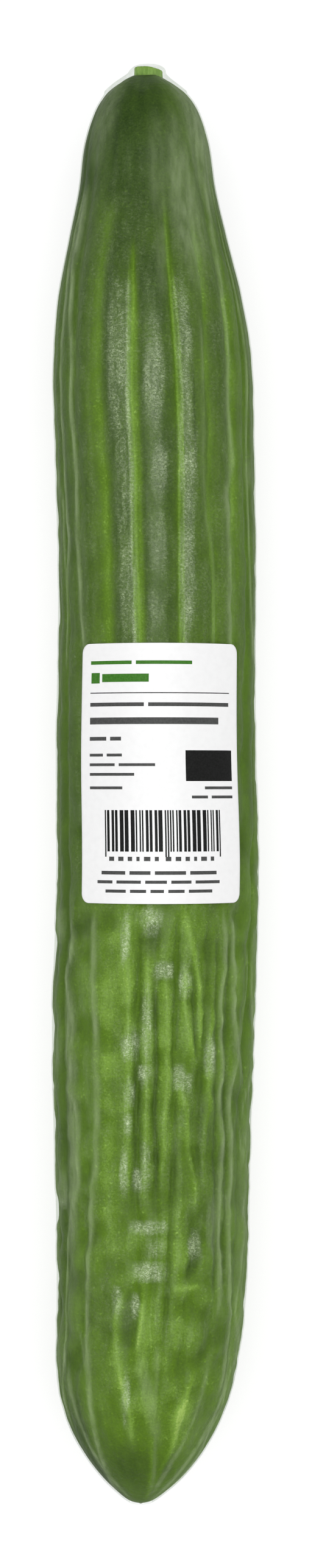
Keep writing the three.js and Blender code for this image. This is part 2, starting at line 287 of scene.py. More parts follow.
# Furrows, ridges and streaks of the skin: the points, then half width, height and tone. Places and
# angles are read from the photograph, here and below. Some tones are painted light: highlights on
# ridges that stand out and on the edges of two furrows, and shade in sunken furrows below the label.
SKIN_LINES = (
    Line(((122, -29), (112, -32), (100, -33.5), (85, -34), (70, -32.5), (60, -31), (45, -30),
          (20, -28)), 1.7, -0.15, 0.34),
    Line(((113, -10.7), (102, -11), (92, -11.9), (82, -12.8), (65, -11.6), (55, -12.4), (46, -11.9),
          (24, -9.5)), 0.6, -0.45, 0.52),
    # Painted highlights: pale thin lines on the edges of the two furrows.
    Line(((108, -13), (92, -14), (80, -14.8), (65, -13.8), (55, -14.5), (46, -14),
          (24, -11.6)), 0.26, 0.22, 0.34),
    Line(((108, 15), (90, 16), (80, 16.4), (65, 16.4), (55, 15.8), (45, 15.3),
          (24, 16.4)), 0.24, 0.2, 0.3),
    Line(((106, -8.6), (92, -9.4), (80, -10), (65, -8.8), (55, -9.5), (40, -8.6),
          (24, -7)), 0.55, -0.1, 0.3),
    Line(((122, 13.3), (100, 13), (90, 13.7), (80, 14.2), (70, 14.8), (60, 13.9), (45, 13.2),
          (24, 14.2)), 0.58, -0.48, 0.42),
    Line(((118, 33.4), (107, 34.7), (101, 34.3), (94, 32.4), (85, 31.6), (75, 33.2), (65, 32),
          (57, 30.6), (47, 33), (38, 34.7), (22, 36)), 0.75, -0.35, 0.24),
    Line(((104, 51.5), (92, 50.5), (78, 50.5), (66, 51.5), (52, 48), (40, 49),
          (24, 49.5)), 1.0, -0.2, 0.28),
    Line(((89, 23.1), (78, 23.4), (64, 24)), 0.3, -0.2, -0.16),
    Line(((128, -38), (110, -40), (90, -42), (60, -39), (24, -37)), 1.0, -0.05, 0.1),
    Line(((112, 4), (95, 7.5), (70, 8.5), (50, 8), (24, 8)), 1.5, 0.0, -0.1),
    Line(((112, -4), (95, -6), (70, -5.8), (50, -6), (24, -5)), 0.7, 0.0, -0.1),
    Line(((112, -26), (95, -27), (70, -25.5), (50, -23), (24, -22)), 1.2, 0.0, -0.12),
    # Below the label: painted highlights on these ridges, painted shade in these sunken furrows.
    Line(((-27, -17), (-36, -16.5), (-48, -14), (-60, -14.2), (-70, -14.4),
          (-85, -17)), 1.1, 0.52, 0.1),
    Line(((-35, -4.4), (-44, -3.6), (-58, -4), (-70, -3.8), (-86, -5.5)), 0.9, 0.52, 0.14),
    Line(((-37, 5.3), (-47, 7.1), (-58, 8), (-67, 7.1), (-80, 6.2)), 0.9, 0.48, 0.1),
    Line(((-40, -0.5), (-50, 0.9), (-61, 1.8), (-68, 0.4), (-76, 2.3), (-85, 1.8)), 0.5, -0.68, -0.2),
    Line(((-27, 11.5), (-38, 12.4), (-53, 11.5), (-67, 12.4), (-76, 12.8), (-88, 11), (-101, 9.8),
          (-116, 8.9)), 0.6, -0.5, -0.08),
    Line(((-27, 16), (-33, 19.6), (-41, 24.9), (-51, 26.9), (-57, 27.5)), 0.8, 0.57, 0.16),
    Line(((-36, 20.5), (-41, 22.2), (-50, 23.1), (-57, 26)), 0.45, -0.6, -0.22),
    Line(((-36, 17.3), (-45, 16.7), (-53, 20.2), (-59, 25)), 0.7, 0.52, 0.14),
    Line(((-61, 13), (-68, 19.6), (-76, 21.3), (-81, 24.9), (-90, 26)), 0.8, 0.54, 0.14),
    Line(((-46, 33.8), (-56, 32), (-66, 33.4), (-73, 30.2), (-84, 31.4)), 0.8, 0.45, 0.14),
    Line(((-28, 30), (-40, 31), (-50, 30), (-66, 28), (-80, 27.8)), 0.7, -0.45, -0.12),
    Line(((-30, -9.6), (-45, -9.4), (-60, -9.6), (-75, -9.8), (-88, -10.5)), 0.7, -0.52, -0.1),
    Line(((-28, -27), (-45, -27), (-62, -26), (-80, -27), (-98, -27)), 2.6, 0.07, 0.17),
    # Painted highlights on ridges near the blossom end.
    Line(((-104, -13.5), (-108, -20), (-114, -22), (-120, -18.7), (-126, -14.2), (-132, -9.8),
          (-140, -8.5)), 0.8, 0.45, 0.15),
    Line(((-104, -5), (-112, -6), (-118, -8)), 0.5, 0.15, 0.24),
    Line(((-135, 5.3), (-144, 9), (-152, 12)), 0.5, 0.15, 0.2),
    Line(((-128, 22), (-136, 24.9), (-145, 19.6), (-152, 14)), 0.6, 0.15, 0.12),
    # Painted highlight on a ridge.
    Line(((-122, 30.2), (-128, 26.7), (-136, 24)), 0.7, 0.3, 0.14),
    # Painted shade in sunken furrows.
    Line(((-34, 46.5), (-50, 45), (-66, 46), (-80, 47.8), (-98, 48), (-106, 47)), 0.7, -0.45, -0.14),
    Line(((-30, 36.5), (-50, 37.2), (-70, 38.6), (-90, 39.4), (-108, 41)), 0.5, -0.38, -0.14),
    Line(((-30, -44), (-55, -44), (-80, -42), (-100, -46), (-125, -47)), 1.6, -0.15, 0.08),
)

# Lumps, dents and pale or dark places of the skin: place, angle, half length, half width, height,
# tone and lean. The dark tones of four dents are painted shade, and two pale tones beside them
# painted highlights.
SKIN_SPOTS = (
    # Painted shade in three dents, and a painted highlight on the rim of the third.
    Spot(-32.5, -3, 3.2, 2.6, -0.35, -0.24),
    Spot(-112, -13, 5.5, 1.7, -0.45, -0.24),
    Spot(-99.7, 25, 3.2, 1.4, -0.4, -0.22, 0.35),
    Spot(-104.5, 22, 0.9, 2.8, 0.25, 0.22),
    Spot(-133, 26.5, 6.0, 2.4, 0.2, 0.2),
    Spot(-142, -11, 5.0, 3.2, 0.0, -0.14),
    # Painted shade in a small dent.
    Spot(-144.5, 27, 2.5, 1.6, -0.1, -0.16),
    # Painted highlight on a lump beside the second dent.
    Spot(-112, -1, 6.0, 1.6, 0.15, 0.1),
    Spot(-95, 14, 8.0, 2.4, 0.1, 0.1),
    Spot(-72, -46, 22.0, 3.0, 0.0, 0.06),
    Spot(-55, 60, 18.0, 3.0, 0.1, -0.08),
    Spot(143, -14, 7.0, 3.2, 0.0, -0.08),
    Spot(70, 57, 42.0, 2.6, 0.0, 0.14),
    Spot(100, 46, 14.0, 2.0, 0.0, -0.06),
    Spot(149.5, -8, 3.5, 2.0, -0.8, 0.05),
    Spot(149, 62, 3.5, 2.0, -0.6),
    Spot(149, -70, 3.5, 2.0, -0.6),
)

# Folds of the film: the points, then half width, height and milkiness, which is partly a painted
# sheen along the fold.
FOLDS = (
    Line(((126, -57.6), (118, -58), (110, -59), (105, -56.9), (98, -56), (89, -53.3), (79, -54.8),
          (72, -53), (64, -51.6), (53, -52.4), (43, -50.7), (34, -48), (24, -44)), 0.54, 0.36, 0.17),
    Line(((126, -60), (112, -64.9), (107, -63.1), (102, -61.7), (95, -63.1), (87, -64.4), (79, -64),
          (66, -62.8), (57, -61.3), (51, -60.1), (44, -62.6), (38, -63.6),
          (24, -66)), 0.42, 0.34, 0.17),
    Line(((92, -77.9), (82, -75.6), (72, -75), (64, -72.9), (59, -68.4), (52, -69.3), (44, -67.2),
          (38, -64.5)), 0.42, 0.3, 0.14),
    Line(((130, 55.1), (119, 53), (108, 50.7), (99, 48.9), (89, 48), (82, 46.2), (74, 47.6), (67, 48.9),
          (61, 43.6), (54, 44.4), (46, 45.3), (37, 44.4), (24, 48)), 0.72, 0.36, 0.13),
    Line(((130, 67.2), (118, 65.8), (107, 66.7), (96, 67.9), (86, 68.4), (77, 66.7), (71, 65.8),
          (56, 66.7), (47, 68.4), (38, 71), (24, 75)), 0.42, 0.34, 0.17),
    Line(((98, 28.8), (82, 28.4), (67, 27.6), (56, 28.1), (51, 31.6), (42, 33.8),
          (24, 33.8)), 0.42, 0.31, 0.07),
    Line(((-27, -57.5), (-34, -53), (-39.5, -58.3), (-45, -55.1), (-51, -50.7), (-56, -52.4),
          (-63, -53), (-70, -48), (-79, -48.4), (-86, -49.8), (-93, -57.8), (-101, -61.3),
          (-108, -63.1), (-116, -62.6), (-123, -64), (-130, -67.6), (-137, -64.4)), 0.51, 0.39, 0.18),
    Line(((-42, -56), (-55, -54.5), (-68, -52), (-80, -52), (-90, -55), (-100, -57)), 1.6, 0.13, 0.12),
    Line(((-27, -37.3), (-38, -36.4), (-51, -33.8), (-63, -32.9), (-72, -33.4), (-80, -34.1),
          (-86, -37.3), (-93, -38.2), (-101, -40.5), (-108, -41.8), (-116, -40), (-126, -38.2),
          (-136, -38.2), (-146, -42.7), (-151, -53.3)), 0.64, 0.31, 0.14),
    Line(((-27, 39.5), (-36, 41.8), (-44, 39.1), (-52, 40), (-58, 41.8), (-65, 40.9), (-72, 42.7),
          (-77, 44.4), (-82, 42.7), (-91, 41.8), (-98, 42.7), (-106, 44.4),
          (-111, 42.7)), 0.51, 0.44, 0.18),
    Line(((-27, 44.4), (-33, 48), (-41, 48.9), (-48, 49.8), (-56, 53.3), (-61, 49.8), (-67, 48),
          (-76, 50.7), (-82, 51.2), (-88, 49.4), (-97, 50.7), (-107, 52.4), (-113, 56), (-121, 55.1),
          (-129, 52.4)), 0.55, 0.44, 0.17),
    Line(((-70, 58), (-78.5, 65.8), (-85, 74.7)), 0.42, 0.36, 0.16),
    Line(((-58, 73), (-62, 72), (-68.5, 64), (-73, 70)), 0.42, 0.36, 0.14),
    Line(((-72, 71), (-78.5, 65.8), (-83, 59)), 0.42, 0.34, 0.13),
    Line(((-84, 76), (-88, 68.4), (-96, 68.4), (-104, 66), (-111, 62.2), (-119, 72.9), (-126, 62.2),
          (-132, 62.2), (-137, 56.9), (-142, 60.4), (-152, 51.6)), 0.47, 0.39, 0.17),
    Line(((-112, -53), (-118, -44), (-124, -40)), 0.45, 0.2, 0.08),
    Line(((-30, 74), (-40, 70), (-50, 72), (-58, 74)), 0.42, 0.33, 0.16),
    Line(((-34, 60), (-41, 63), (-50, 57), (-58, 56), (-66, 64)), 0.51, 0.33, 0.12),
    Line(((-126, -20), (-133, -10), (-139, -8)), 0.6, 0.1, 0.04),
    Line(((-122, -58), (-132, -54), (-140, -48), (-147, -40), (-152, -25)), 0.6, 0.1, 0.13),
    Line(((-118, 62), (-130, 58), (-140, 50), (-147, 42), (-152, 30)), 0.7, 0.1, 0.16),
    Line(((-120, 40), (-132, 36), (-142, 28), (-151, 18)), 0.6, 0.1, 0.11),
    Line(((-116, 5), (-130, 7), (-142, 11), (-151, 15)), 0.45, 0.1, 0.07),
)

# Pale places of the film: milkiness where it stands off the skin, partly a painted sheen.
MILKY_AND_SHEEN_SPOTS = (
    Spot(122, 30, 17.0, 3.6, 0.0, 0.13, -0.03),
    Spot(110, 8.5, 9.0, 1.3, 0.0, 0.06, 0.05),
    Spot(128, 9, 12.0, 2.0, 0.0, 0.06),
    Spot(78, 29.5, 26.0, 1.6, 0.0, 0.02),
    Spot(117, -59.5, 9.0, 1.8, 0.0, 0.09),
    Spot(116, -47, 12.0, 2.0, 0.0, 0.04),
    Spot(140, -48, 10.0, 3.5, 0.0, 0.08),
    Spot(136, 58, 14.0, 4.6, 0.0, 0.14),
    Spot(-92, 37.5, 7.0, 1.5, 0.0, 0.08),
    Spot(-128, 2.5, 9.0, 1.5, 0.0, 0.08, -0.25),
    Spot(-134, 40, 6.0, 4.0, 0.0, 0.04),
    Spot(-105, -55, 12.0, 3.0, 0.0, 0.04),
    Spot(-30, -72, 4.0, 3.0, 0.1, 0.1),
    Spot(-55, -72, 6.0, 3.0, 0.1, 0.07),
    Spot(-85, -68, 4.0, 2.6, 0.1, 0.08),
    Spot(-100, 68, 40.0, 3.2, 0.0, 0.07),
    Spot(-119, -74, 9.0, 3.0, 0.1, 0.06),
    Spot(66, 68, 4.0, 2.6, 0.0, 0.07),
)

# Where the film clings to the skin, its tiny wrinkles painted as pale glints: the tone is how
# closely, and how bright the painted glints are. It passes 1 below the label, where the painted
# glints are strongest.
CLINGING_AND_GLINTS = (
    Line(((106, -13.3), (92, -14.3), (80, -15.0), (65, -14.0), (55, -14.8), (46, -14.4),
          (24, -12)), 0.5, 0.0, 0.9),
    Line(((106, 15.2), (92, 16.0), (80, 16.6), (65, 16.8), (55, 16.0), (46, 15.5),
          (24, 16.8)), 0.4, 0.0, 0.7),
    Spot(88, -20.5, 17.0, 2.0, 0.0, 0.79),
    Spot(62, -18.5, 14.0, 1.9, 0.0, 0.53),
    Spot(42, -17, 14.0, 1.8, 0.0, 0.57),
    Spot(85, 0.4, 12.0, 2.3, 0.0, 0.66, 0.01),
    Spot(65, 2.2, 6.0, 1.8, 0.0, 0.7, 0.05),
    Spot(50, 0.5, 8.0, 2.0, 0.0, 0.47),
    Spot(36, -1, 6.0, 1.8, 0.0, 0.31),
    Spot(92, 18.6, 14.0, 1.8, 0.0, 0.7),
    Spot(68, 18.8, 13.0, 2.0, 0.0, 0.79),
    Spot(44, 17.2, 14.0, 1.8, 0.0, 0.7),
    Spot(-32, -17.5, 5.0, 0.9, 0.0, 1.5),
    Spot(-28, -4, 2.2, 2.4, 0.0, 1.7),
    Spot(-38.5, 4.5, 1.6, 1.8, 0.0, 1.7),
    Spot(-41, 16.5, 2.6, 1.2, 0.0, 1.2),
    Spot(-54, -13, 2.4, 1.9, 0.0, 1.7),
    Spot(-50, -4, 8.0, 1.0, 0.0, 1.0),
    Spot(-60, -4.6, 1.6, 1.3, 0.0, 1.7),
    Spot(-61.5, 16.5, 2.2, 1.9, 0.0, 1.7, -0.5),
    Spot(-57, 33, 3.6, 1.3, 0.0, 1.4),
    Spot(-64, -13.6, 2.4, 1.0, 0.0, 1.5),
    Spot(-70.5, -14, 1.4, 0.9, 0.0, 1.7),
    Spot(-80, -16.4, 4.5, 0.9, 0.0, 1.4),
    Spot(-77, -4.2, 3.0, 0.9, 0.0, 1.4),
    Spot(-82, -6.2, 2.4, 1.8, 0.0, 1.5),
    Spot(-91.5, -2, 1.0, 3.6, 0.2, 1.7),
    Spot(-96, 2, 1.4, 2.2, 0.0, 0.85),
    Spot(-101, -2, 1.4, 3.6, 0.2, 1.7),
    Spot(-107, -21, 3.0, 1.2, 0.0, 1.0),
    Spot(-108, -9.5, 1.8, 0.9, 0.0, 1.5),
    Spot(-128, -13, 5.0, 1.0, 0.0, 1.0),
    Spot(-96, 25, 2.6, 1.4, 0.0, 1.2),
    Spot(-92, 37, 6.0, 1.2, 0.0, 0.85),
    Spot(-86, -67, 3.0, 2.0, 0.0, 1.5),
)


@dataclass
class Form:
    """The shape of the whole cucumber as formulas over a place along it and an angle round it.

    Attributes:
        roughness_parts: how uneven the skin is at the stem, and what the upper and lower body add.
        furrow_strength: how strong a furrow is usually, and how much that changes along it.
        furrow_limits: how strong it is at least and at most.
        furrow_change: how far it runs until that changes, in millimetres for each radian.
        furrow_shift: how much later that is from one furrow to the next, in radians.
        depth_on_top: what share of their depth the furrows have on top, where they are shallowest.
        highest_lump: how high the lumps stand out at most, in millimetres.
        calmer_sides: how much lower they are at the sides.
        film_sag: how deep the film sinks over a furrow, as a share of the furrow.
        film_gap: how far it stays off the skin, in millimetres.
        touching: from where to where its distance to the skin has it clinging.
        cling_shares: how closely it clings everywhere, and what touching the skin on top adds;
            this also sets its painted glints.
        painted_side_sheen: a painted sheen at the sides, where one looks along it.
        painted_sheen_sides: the angles off the top line over which that comes in.
        steps: the distance along the outline at each of its points.
    """

    roughness_parts: tuple[float, float, float] = (0.12, 0.35, 0.53)
    furrow_strength: tuple[float, float] = (0.75, 0.35)
    furrow_limits: tuple[float, float] = (0.3, 1.1)
    furrow_change: float = 37.0
    furrow_shift: float = 2.4
    depth_on_top: float = 0.55
    highest_lump: float = 0.35
    calmer_sides: float = 0.45
    film_sag: float = 0.4
    film_gap: float = 0.02
    touching: tuple[float, float] = (0.30, 0.03)
    cling_shares: tuple[float, float] = (0.01, 0.12)
    painted_side_sheen: float = 0.08
    painted_sheen_sides: tuple[float, float] = (64.0, 84.0)
    steps: np.ndarray = field(init=False)

    def __post_init__(self) -> None:
        """Measures the distance along the outline at each of its points."""
        steps = np.hypot(*np.diff(OUTLINE, axis=0).T)
        self.steps = np.concatenate([[0.0], np.cumsum(steps)])

    def outline(self, station: np.ndarray) -> tuple[np.ndarray, np.ndarray]:
        """The place and radius at a distance along the outline from the blossom end."""
        return curve(self.steps, OUTLINE[:, 0], station), curve(self.steps, OUTLINE[:, 1], station)

    def stations(self, count: int, crowding: float) -> np.ndarray:
        """Distances along the outline, closer together at both ends by a sine.

        Args:
            count: how many.
            crowding: from 0, even, towards 1.

        Returns:
            The rising distances, the last at the stem's rim.
        """
        t = (np.arange(count) + 1) / count
        return self.steps[-1] * (t - crowding * np.sin(2 * np.pi * t) / (2 * np.pi))

    def angles(self, count: int, crowding: float) -> np.ndarray:
        """Angles all round from -180, closer together on top by a sine."""
        v = np.arange(count) / count - 0.5
        return FULL_TURN * (v - crowding * np.sin(2 * np.pi * v) / (2 * np.pi))

    def ribs(self, y: np.ndarray) -> np.ndarray:
        """The angles of all ribs at each place.

        The upper ribs follow their table. The ribs under the fruit share out what is left and sway by
        a sine of the place.

        Args:
            y: places along the fruit.

        Returns:
            The rising angles as a last axis, with the first rib again a turn on.
        """
        upper = np.stack([curve(RIB_PLACES, angles, y) for angles in UPPER_RIBS], axis=-1)
        first, last = upper[..., :1] + FULL_TURN, upper[..., -1:]
        k = np.arange(UNDER_RIBS)
        phase = 2 * np.pi * y[..., None] / UNDER_SWAY_LENGTH + UNDER_SWAY_SHIFT * k
        under = last + (first - last) * (k + 1) / (UNDER_RIBS + 1) + UNDER_SWAY * np.sin(phase)
        return np.concatenate([upper, under, first], axis=-1)

    def rib_share(self, y: np.ndarray, angle: np.ndarray) -> tuple[np.ndarray, np.ndarray]:
        """Where an angle lies between two ribs.

        The number of the rib before it and the share of the way to the next are the sum, over all
        gaps between ribs, of the share of each gap that is passed.

        Args:
            y: places, of rows by columns.
            angle: angles there.

        Returns:
            The number of the rib before, and the share of the way to the next.
        """
        edges = self.ribs(y[:, 0])[:, None, :]
        turned = edges[..., :1] + (angle[..., None] - edges[..., :1]) % FULL_TURN
        passed = (turned - edges[..., :-1]) / np.diff(edges, axis=-1)
        total = np.clip(passed, 0.0, 1.0).sum(axis=-1)
        number = np.minimum(np.floor(total), edges.shape[-1] - 2)
        return number, total - number

    def radius(self, y: np.ndarray) -> np.ndarray:
        """The outline's radius at places along the fruit."""
        return curve(OUTLINE[:, 0], OUTLINE[:, 1], y)

    def roughness(self, y: np.ndarray) -> np.ndarray:
        """How irregular the skin is along the fruit: smooth at the stem, uneven below the label."""
        at_stem, upper, lower = self.roughness_parts
        above, below = smooth(y, 120.0, 60.0), smooth(y, 30.0, -40.0)
        return at_stem + upper * above + lower * below

    def inward(self, y: np.ndarray) -> np.ndarray:
        """How far the ribs and furrows have faded in, from 0 at either end to 1."""
        from_end = np.minimum(y - OUTLINE[0, 0], OUTLINE[-1, 0] - y)
        return smooth(from_end, 0.0, FURROW_FADE)

    def pressed(self, y: np.ndarray, angle: np.ndarray) -> np.ndarray:
        """Where the label presses on the film and skin.

        Args:
            y: places along the fruit.
            angle: angles round it.

        Returns:
            From 0, outside the label's edges, to 1 under it.
        """
        turn = np.degrees(LABEL_WIDTH / 2 / self.radius(y))
        beside = np.abs(angle - LABEL_ANGLE) - turn
        along = np.abs(y - LABEL_PLACE) - LABEL_HEIGHT / 2
        return smooth(along, PRESSED_ENDS, 0.0) * (1.0 - smooth(beside, *PRESSED_SIDES))

    def skin(self, y: np.ndarray, angle: np.ndarray) -> tuple[np.ndarray, np.ndarray]:
        """The relief of the skin and how deep in a furrow each point lies.

        The ribs are rounded and the furrows between them narrow: the depth is the fourth power of the
        sine of the share between two ribs. Seeded waves bend them sideways and lift and sink the
        skin, then come the marks, and the label presses down what stands out under it.

        Args:
            y: places, of rows by columns.
            angle: angles there.

        Returns:
            The relief in millimetres, 0 on an even rib, and the furrow from 0 to 1.
        """
        rough, inward = self.roughness(y), self.inward(y)
        number, share = self.rib_share(y, angle + rough * RIB_SWAY.at(y, angle))
        usual, change = self.furrow_strength
        phase = self.furrow_shift * number + y / self.furrow_change
        strength = np.clip(usual + change * np.sin(phase), *self.furrow_limits)
        side = smooth(np.abs(angle), *SIDES)
        furrow = np.sin(np.pi * share) ** 4 * strength * inward
        relief = -FURROW_DEPTH * (self.depth_on_top + (1.0 - self.depth_on_top) * side) * furrow
        lumps = np.minimum(sum(wave.at(y, angle) for wave in LUMPS), self.highest_lump)
        relief = relief + rough * inward * (1.0 - self.calmer_sides * side) * lumps
        radius = self.radius(y)
        for mark in (*SKIN_LINES, *SKIN_SPOTS):
            if mark.height:
                relief = relief + mark.height * mark.weight(y, angle, radius)
        relief = relief - self.pressed(y, angle) * np.maximum(relief, 0.0)
        return relief, furrow

    def film(self, y: np.ndarray, angle: np.ndarray) -> tuple[np.ndarray, np.ndarray, np.ndarray]:
        """The film: it spans the furrows, keeps to the lumps and has folds of its own.

        It sinks over a furrow by the square of the sine of the share between two ribs, and stays
        above the skin. It clings where it is close to the skin on top, and not in a fold, and its
        painted glints follow that. Its milkiness is in the folds and pale places, partly as a
        painted sheen, and a painted sheen adds a little at the sides.

        Args:
            y: places, of rows by columns.
            angle: angles there.

        Returns:
            The relief in millimetres, how closely it clings to the skin, which also sets its painted
            glints, and its milkiness, partly a painted sheen.
        """
        _, share = self.rib_share(y, angle)
        inward, radius = self.inward(y), self.radius(y)
        sunk = -self.film_sag * FURROW_DEPTH * np.sin(np.pi * share) ** 2 * inward
        skin, _ = self.skin(y, angle)
        relief = np.maximum(sunk, skin + self.film_gap)
        off_top = np.abs(angle)
        everywhere, close = self.cling_shares
        on_top = 1.0 - smooth(off_top, *SIDES)
        cling = everywhere + close * smooth(relief - skin, *self.touching) * inward * on_top
        # A painted sheen at the sides, where one looks along the film.
        milky_and_sheen = self.painted_side_sheen * smooth(off_top, *self.painted_sheen_sides) * (1.0 - smooth(off_top, *UNDERSIDE))
        # Where it clings, the tone also sets how bright the painted glints are.
        for mark in CLINGING_AND_GLINTS:
            weight = mark.weight(y, angle, radius)
            cling = np.maximum(cling, mark.tone * weight)
            relief = relief + mark.height * weight
        # Folds and pale places: milkiness, partly a painted sheen.
        for mark in (*FOLDS, *MILKY_AND_SHEEN_SPOTS):
            weight = mark.weight(y, angle, radius)
            relief = relief + mark.height * weight
            cling = cling * (1.0 - weight)
            milky_and_sheen = np.maximum(milky_and_sheen, mark.tone * weight)
        relief = relief - self.pressed(y, angle) * np.maximum(relief, 0.0)
        return relief, cling, milky_and_sheen

    def points(self, y: np.ndarray, radius: np.ndarray, angle: np.ndarray, floor: float) -> np.ndarray:
        """Points round the bowed axis, pressed flat at the height of what is under them.

        Each is the axis plus the radius times the sine of the angle along X and its cosine along Z.

        Args:
            y: places along the fruit.
            radius: distances from its axis.
            angle: angles round it.
            floor: the height that no point is under.

        Returns:
            The points in millimetres, with x, y, z on a last axis.
        """
        turn = np.radians(angle)
        x = curve(SIDE_BOW[:, 0], SIDE_BOW[:, 1], y) + radius * np.sin(turn)
        z = REST_HEIGHT + END_LIFT * (y / HALF_LENGTH) ** 2 + radius * np.cos(turn)
        return np.stack([x, y, np.maximum(z, floor)], axis=-1)


def ring_faces(rows: int, columns: int) -> tuple[np.ndarray, np.ndarray]:
    """Faces of a surface of rings with a point that closes each end, faces out for rising places.

    Point 0 closes the first ring and the last point the last one. Between two rings each face joins
    neighbours in both.

    Args:
        rows: how many rings.
        columns: how many points in each.

    Returns:
        The four-sided faces and the three-sided ones, as arrays of point numbers.
    """
    here = 1 + np.arange(rows)[:, None] * columns + np.arange(columns)[None, :]
    ahead = np.roll(here, -1, axis=1)
    quads = np.stack([here[:-1], ahead[:-1], ahead[1:], here[1:]], axis=-1).reshape(-1, 4)
    last = rows * columns + 1
    first_fan = np.stack([np.zeros(columns, int), ahead[0], here[0]], axis=-1)
    last_fan = np.stack([np.full(columns, last), here[-1], ahead[-1]], axis=-1)
    return quads, np.concatenate([first_fan, last_fan])


def make_mesh(name: str, points: np.ndarray, *faces: np.ndarray) -> bpy.types.Object:
    """A smooth mesh object at the origin from points in millimetres and arrays of faces.

    Args:
        name: the piece's name.
        points: its points, one in each row.
        faces: arrays of faces, each with one number of corners.

    Returns:
        The new object, linked to the scene.
    """
    mesh = bpy.data.meshes.new(name)
    sizes = np.concatenate([np.full(len(part), part.shape[1]) for part in faces])
    corners = np.concatenate([part.ravel() for part in faces])
    mesh.vertices.add(len(points))
    mesh.vertices.foreach_set("co", (points * MM).astype(np.float32).ravel())
    mesh.loops.add(len(corners))
    mesh.loops.foreach_set("vertex_index", corners.astype(np.int32))
    mesh.polygons.add(len(sizes))
    starts = np.concatenate([[0], np.cumsum(sizes)[:-1]])
    mesh.polygons.foreach_set("loop_start", starts.astype(np.int32))
    mesh.polygons.foreach_set("use_smooth", np.ones(len(sizes), bool))
    mesh.update(calc_edges=True)
    mesh.validate()
    piece = bpy.data.objects.new(name, mesh)
    bpy.context.collection.objects.link(piece)
    return piece


def set_attribute(piece: bpy.types.Object, name: str, values: np.ndarray) -> None:
    """Stores one number for each point of a piece, for its material to read."""
    layer = piece.data.attributes.new(name, "FLOAT", "POINT")
    layer.data.foreach_set("value", values.astype(np.float32).ravel())


def colour(code: str) -> tuple[float, float, float, float]:
    """A linear colour from an sRGB hex code.

    Args:
        code: six hex digits, such as 4a7029.

    Returns:
        Red, green, blue and a full alpha, turned linear by the sRGB curve.
    """
    parts = np.array([int(code[i : i + 2], 16) for i in (0, 2, 4)]) / 255.0
    linear = np.where(parts <= 0.04045, parts / 12.92, ((parts + 0.055) / 1.055) ** 2.4)
    return (*linear.tolist(), 1.0)


def add_node(
    tree: bpy.types.NodeTree,
    kind: str,
    inputs: dict[str | int, object] | None = None,
    **settings: object,
) -> bpy.types.Node:
    """Adds a node to a tree, with its settings, its values and its links.

    Args:
        tree: the node tree.
        kind: the node's type, without its ShaderNode prefix.
        inputs: a value, or an output to link, for each named or numbered input.
        settings: properties of the node itself.

    Returns:
        The new node.
    """
    node = tree.nodes.new("ShaderNode" + kind)
    for key, value in settings.items():
        setattr(node, key, value)
    for key, value in (inputs or {}).items():
        if isinstance(value, bpy.types.NodeSocket):
            tree.links.new(value, node.inputs[key])
        else:
            node.inputs[key].default_value = value
    return node


def new_material(name: str) -> tuple[bpy.types.Material, bpy.types.NodeTree]:
    """An empty node material.

    Args:
        name: its name.

    Returns:
        The material and its node tree.
    """
    material = bpy.data.materials.new(name)
    material.use_nodes = True
    material.node_tree.nodes.clear()
    return material, material.node_tree


def set_ramp(node: bpy.types.Node, stops: tuple[tuple[float, str], ...]) -> None:
    """Gives a colour ramp its stops.

    Args:
        node: the ramp's node.
        stops: rising places from 0 to 1, each with a hex code.
    """
    ramp = node.color_ramp
    while len(ramp.elements) > 1:
        ramp.elements.remove(ramp.elements[-1])
    ramp.elements[0].position = stops[0][0]
    ramp.elements[0].color = colour(stops[0][1])
    for place, code in stops[1:]:
        ramp.elements.new(place).color = colour(code)


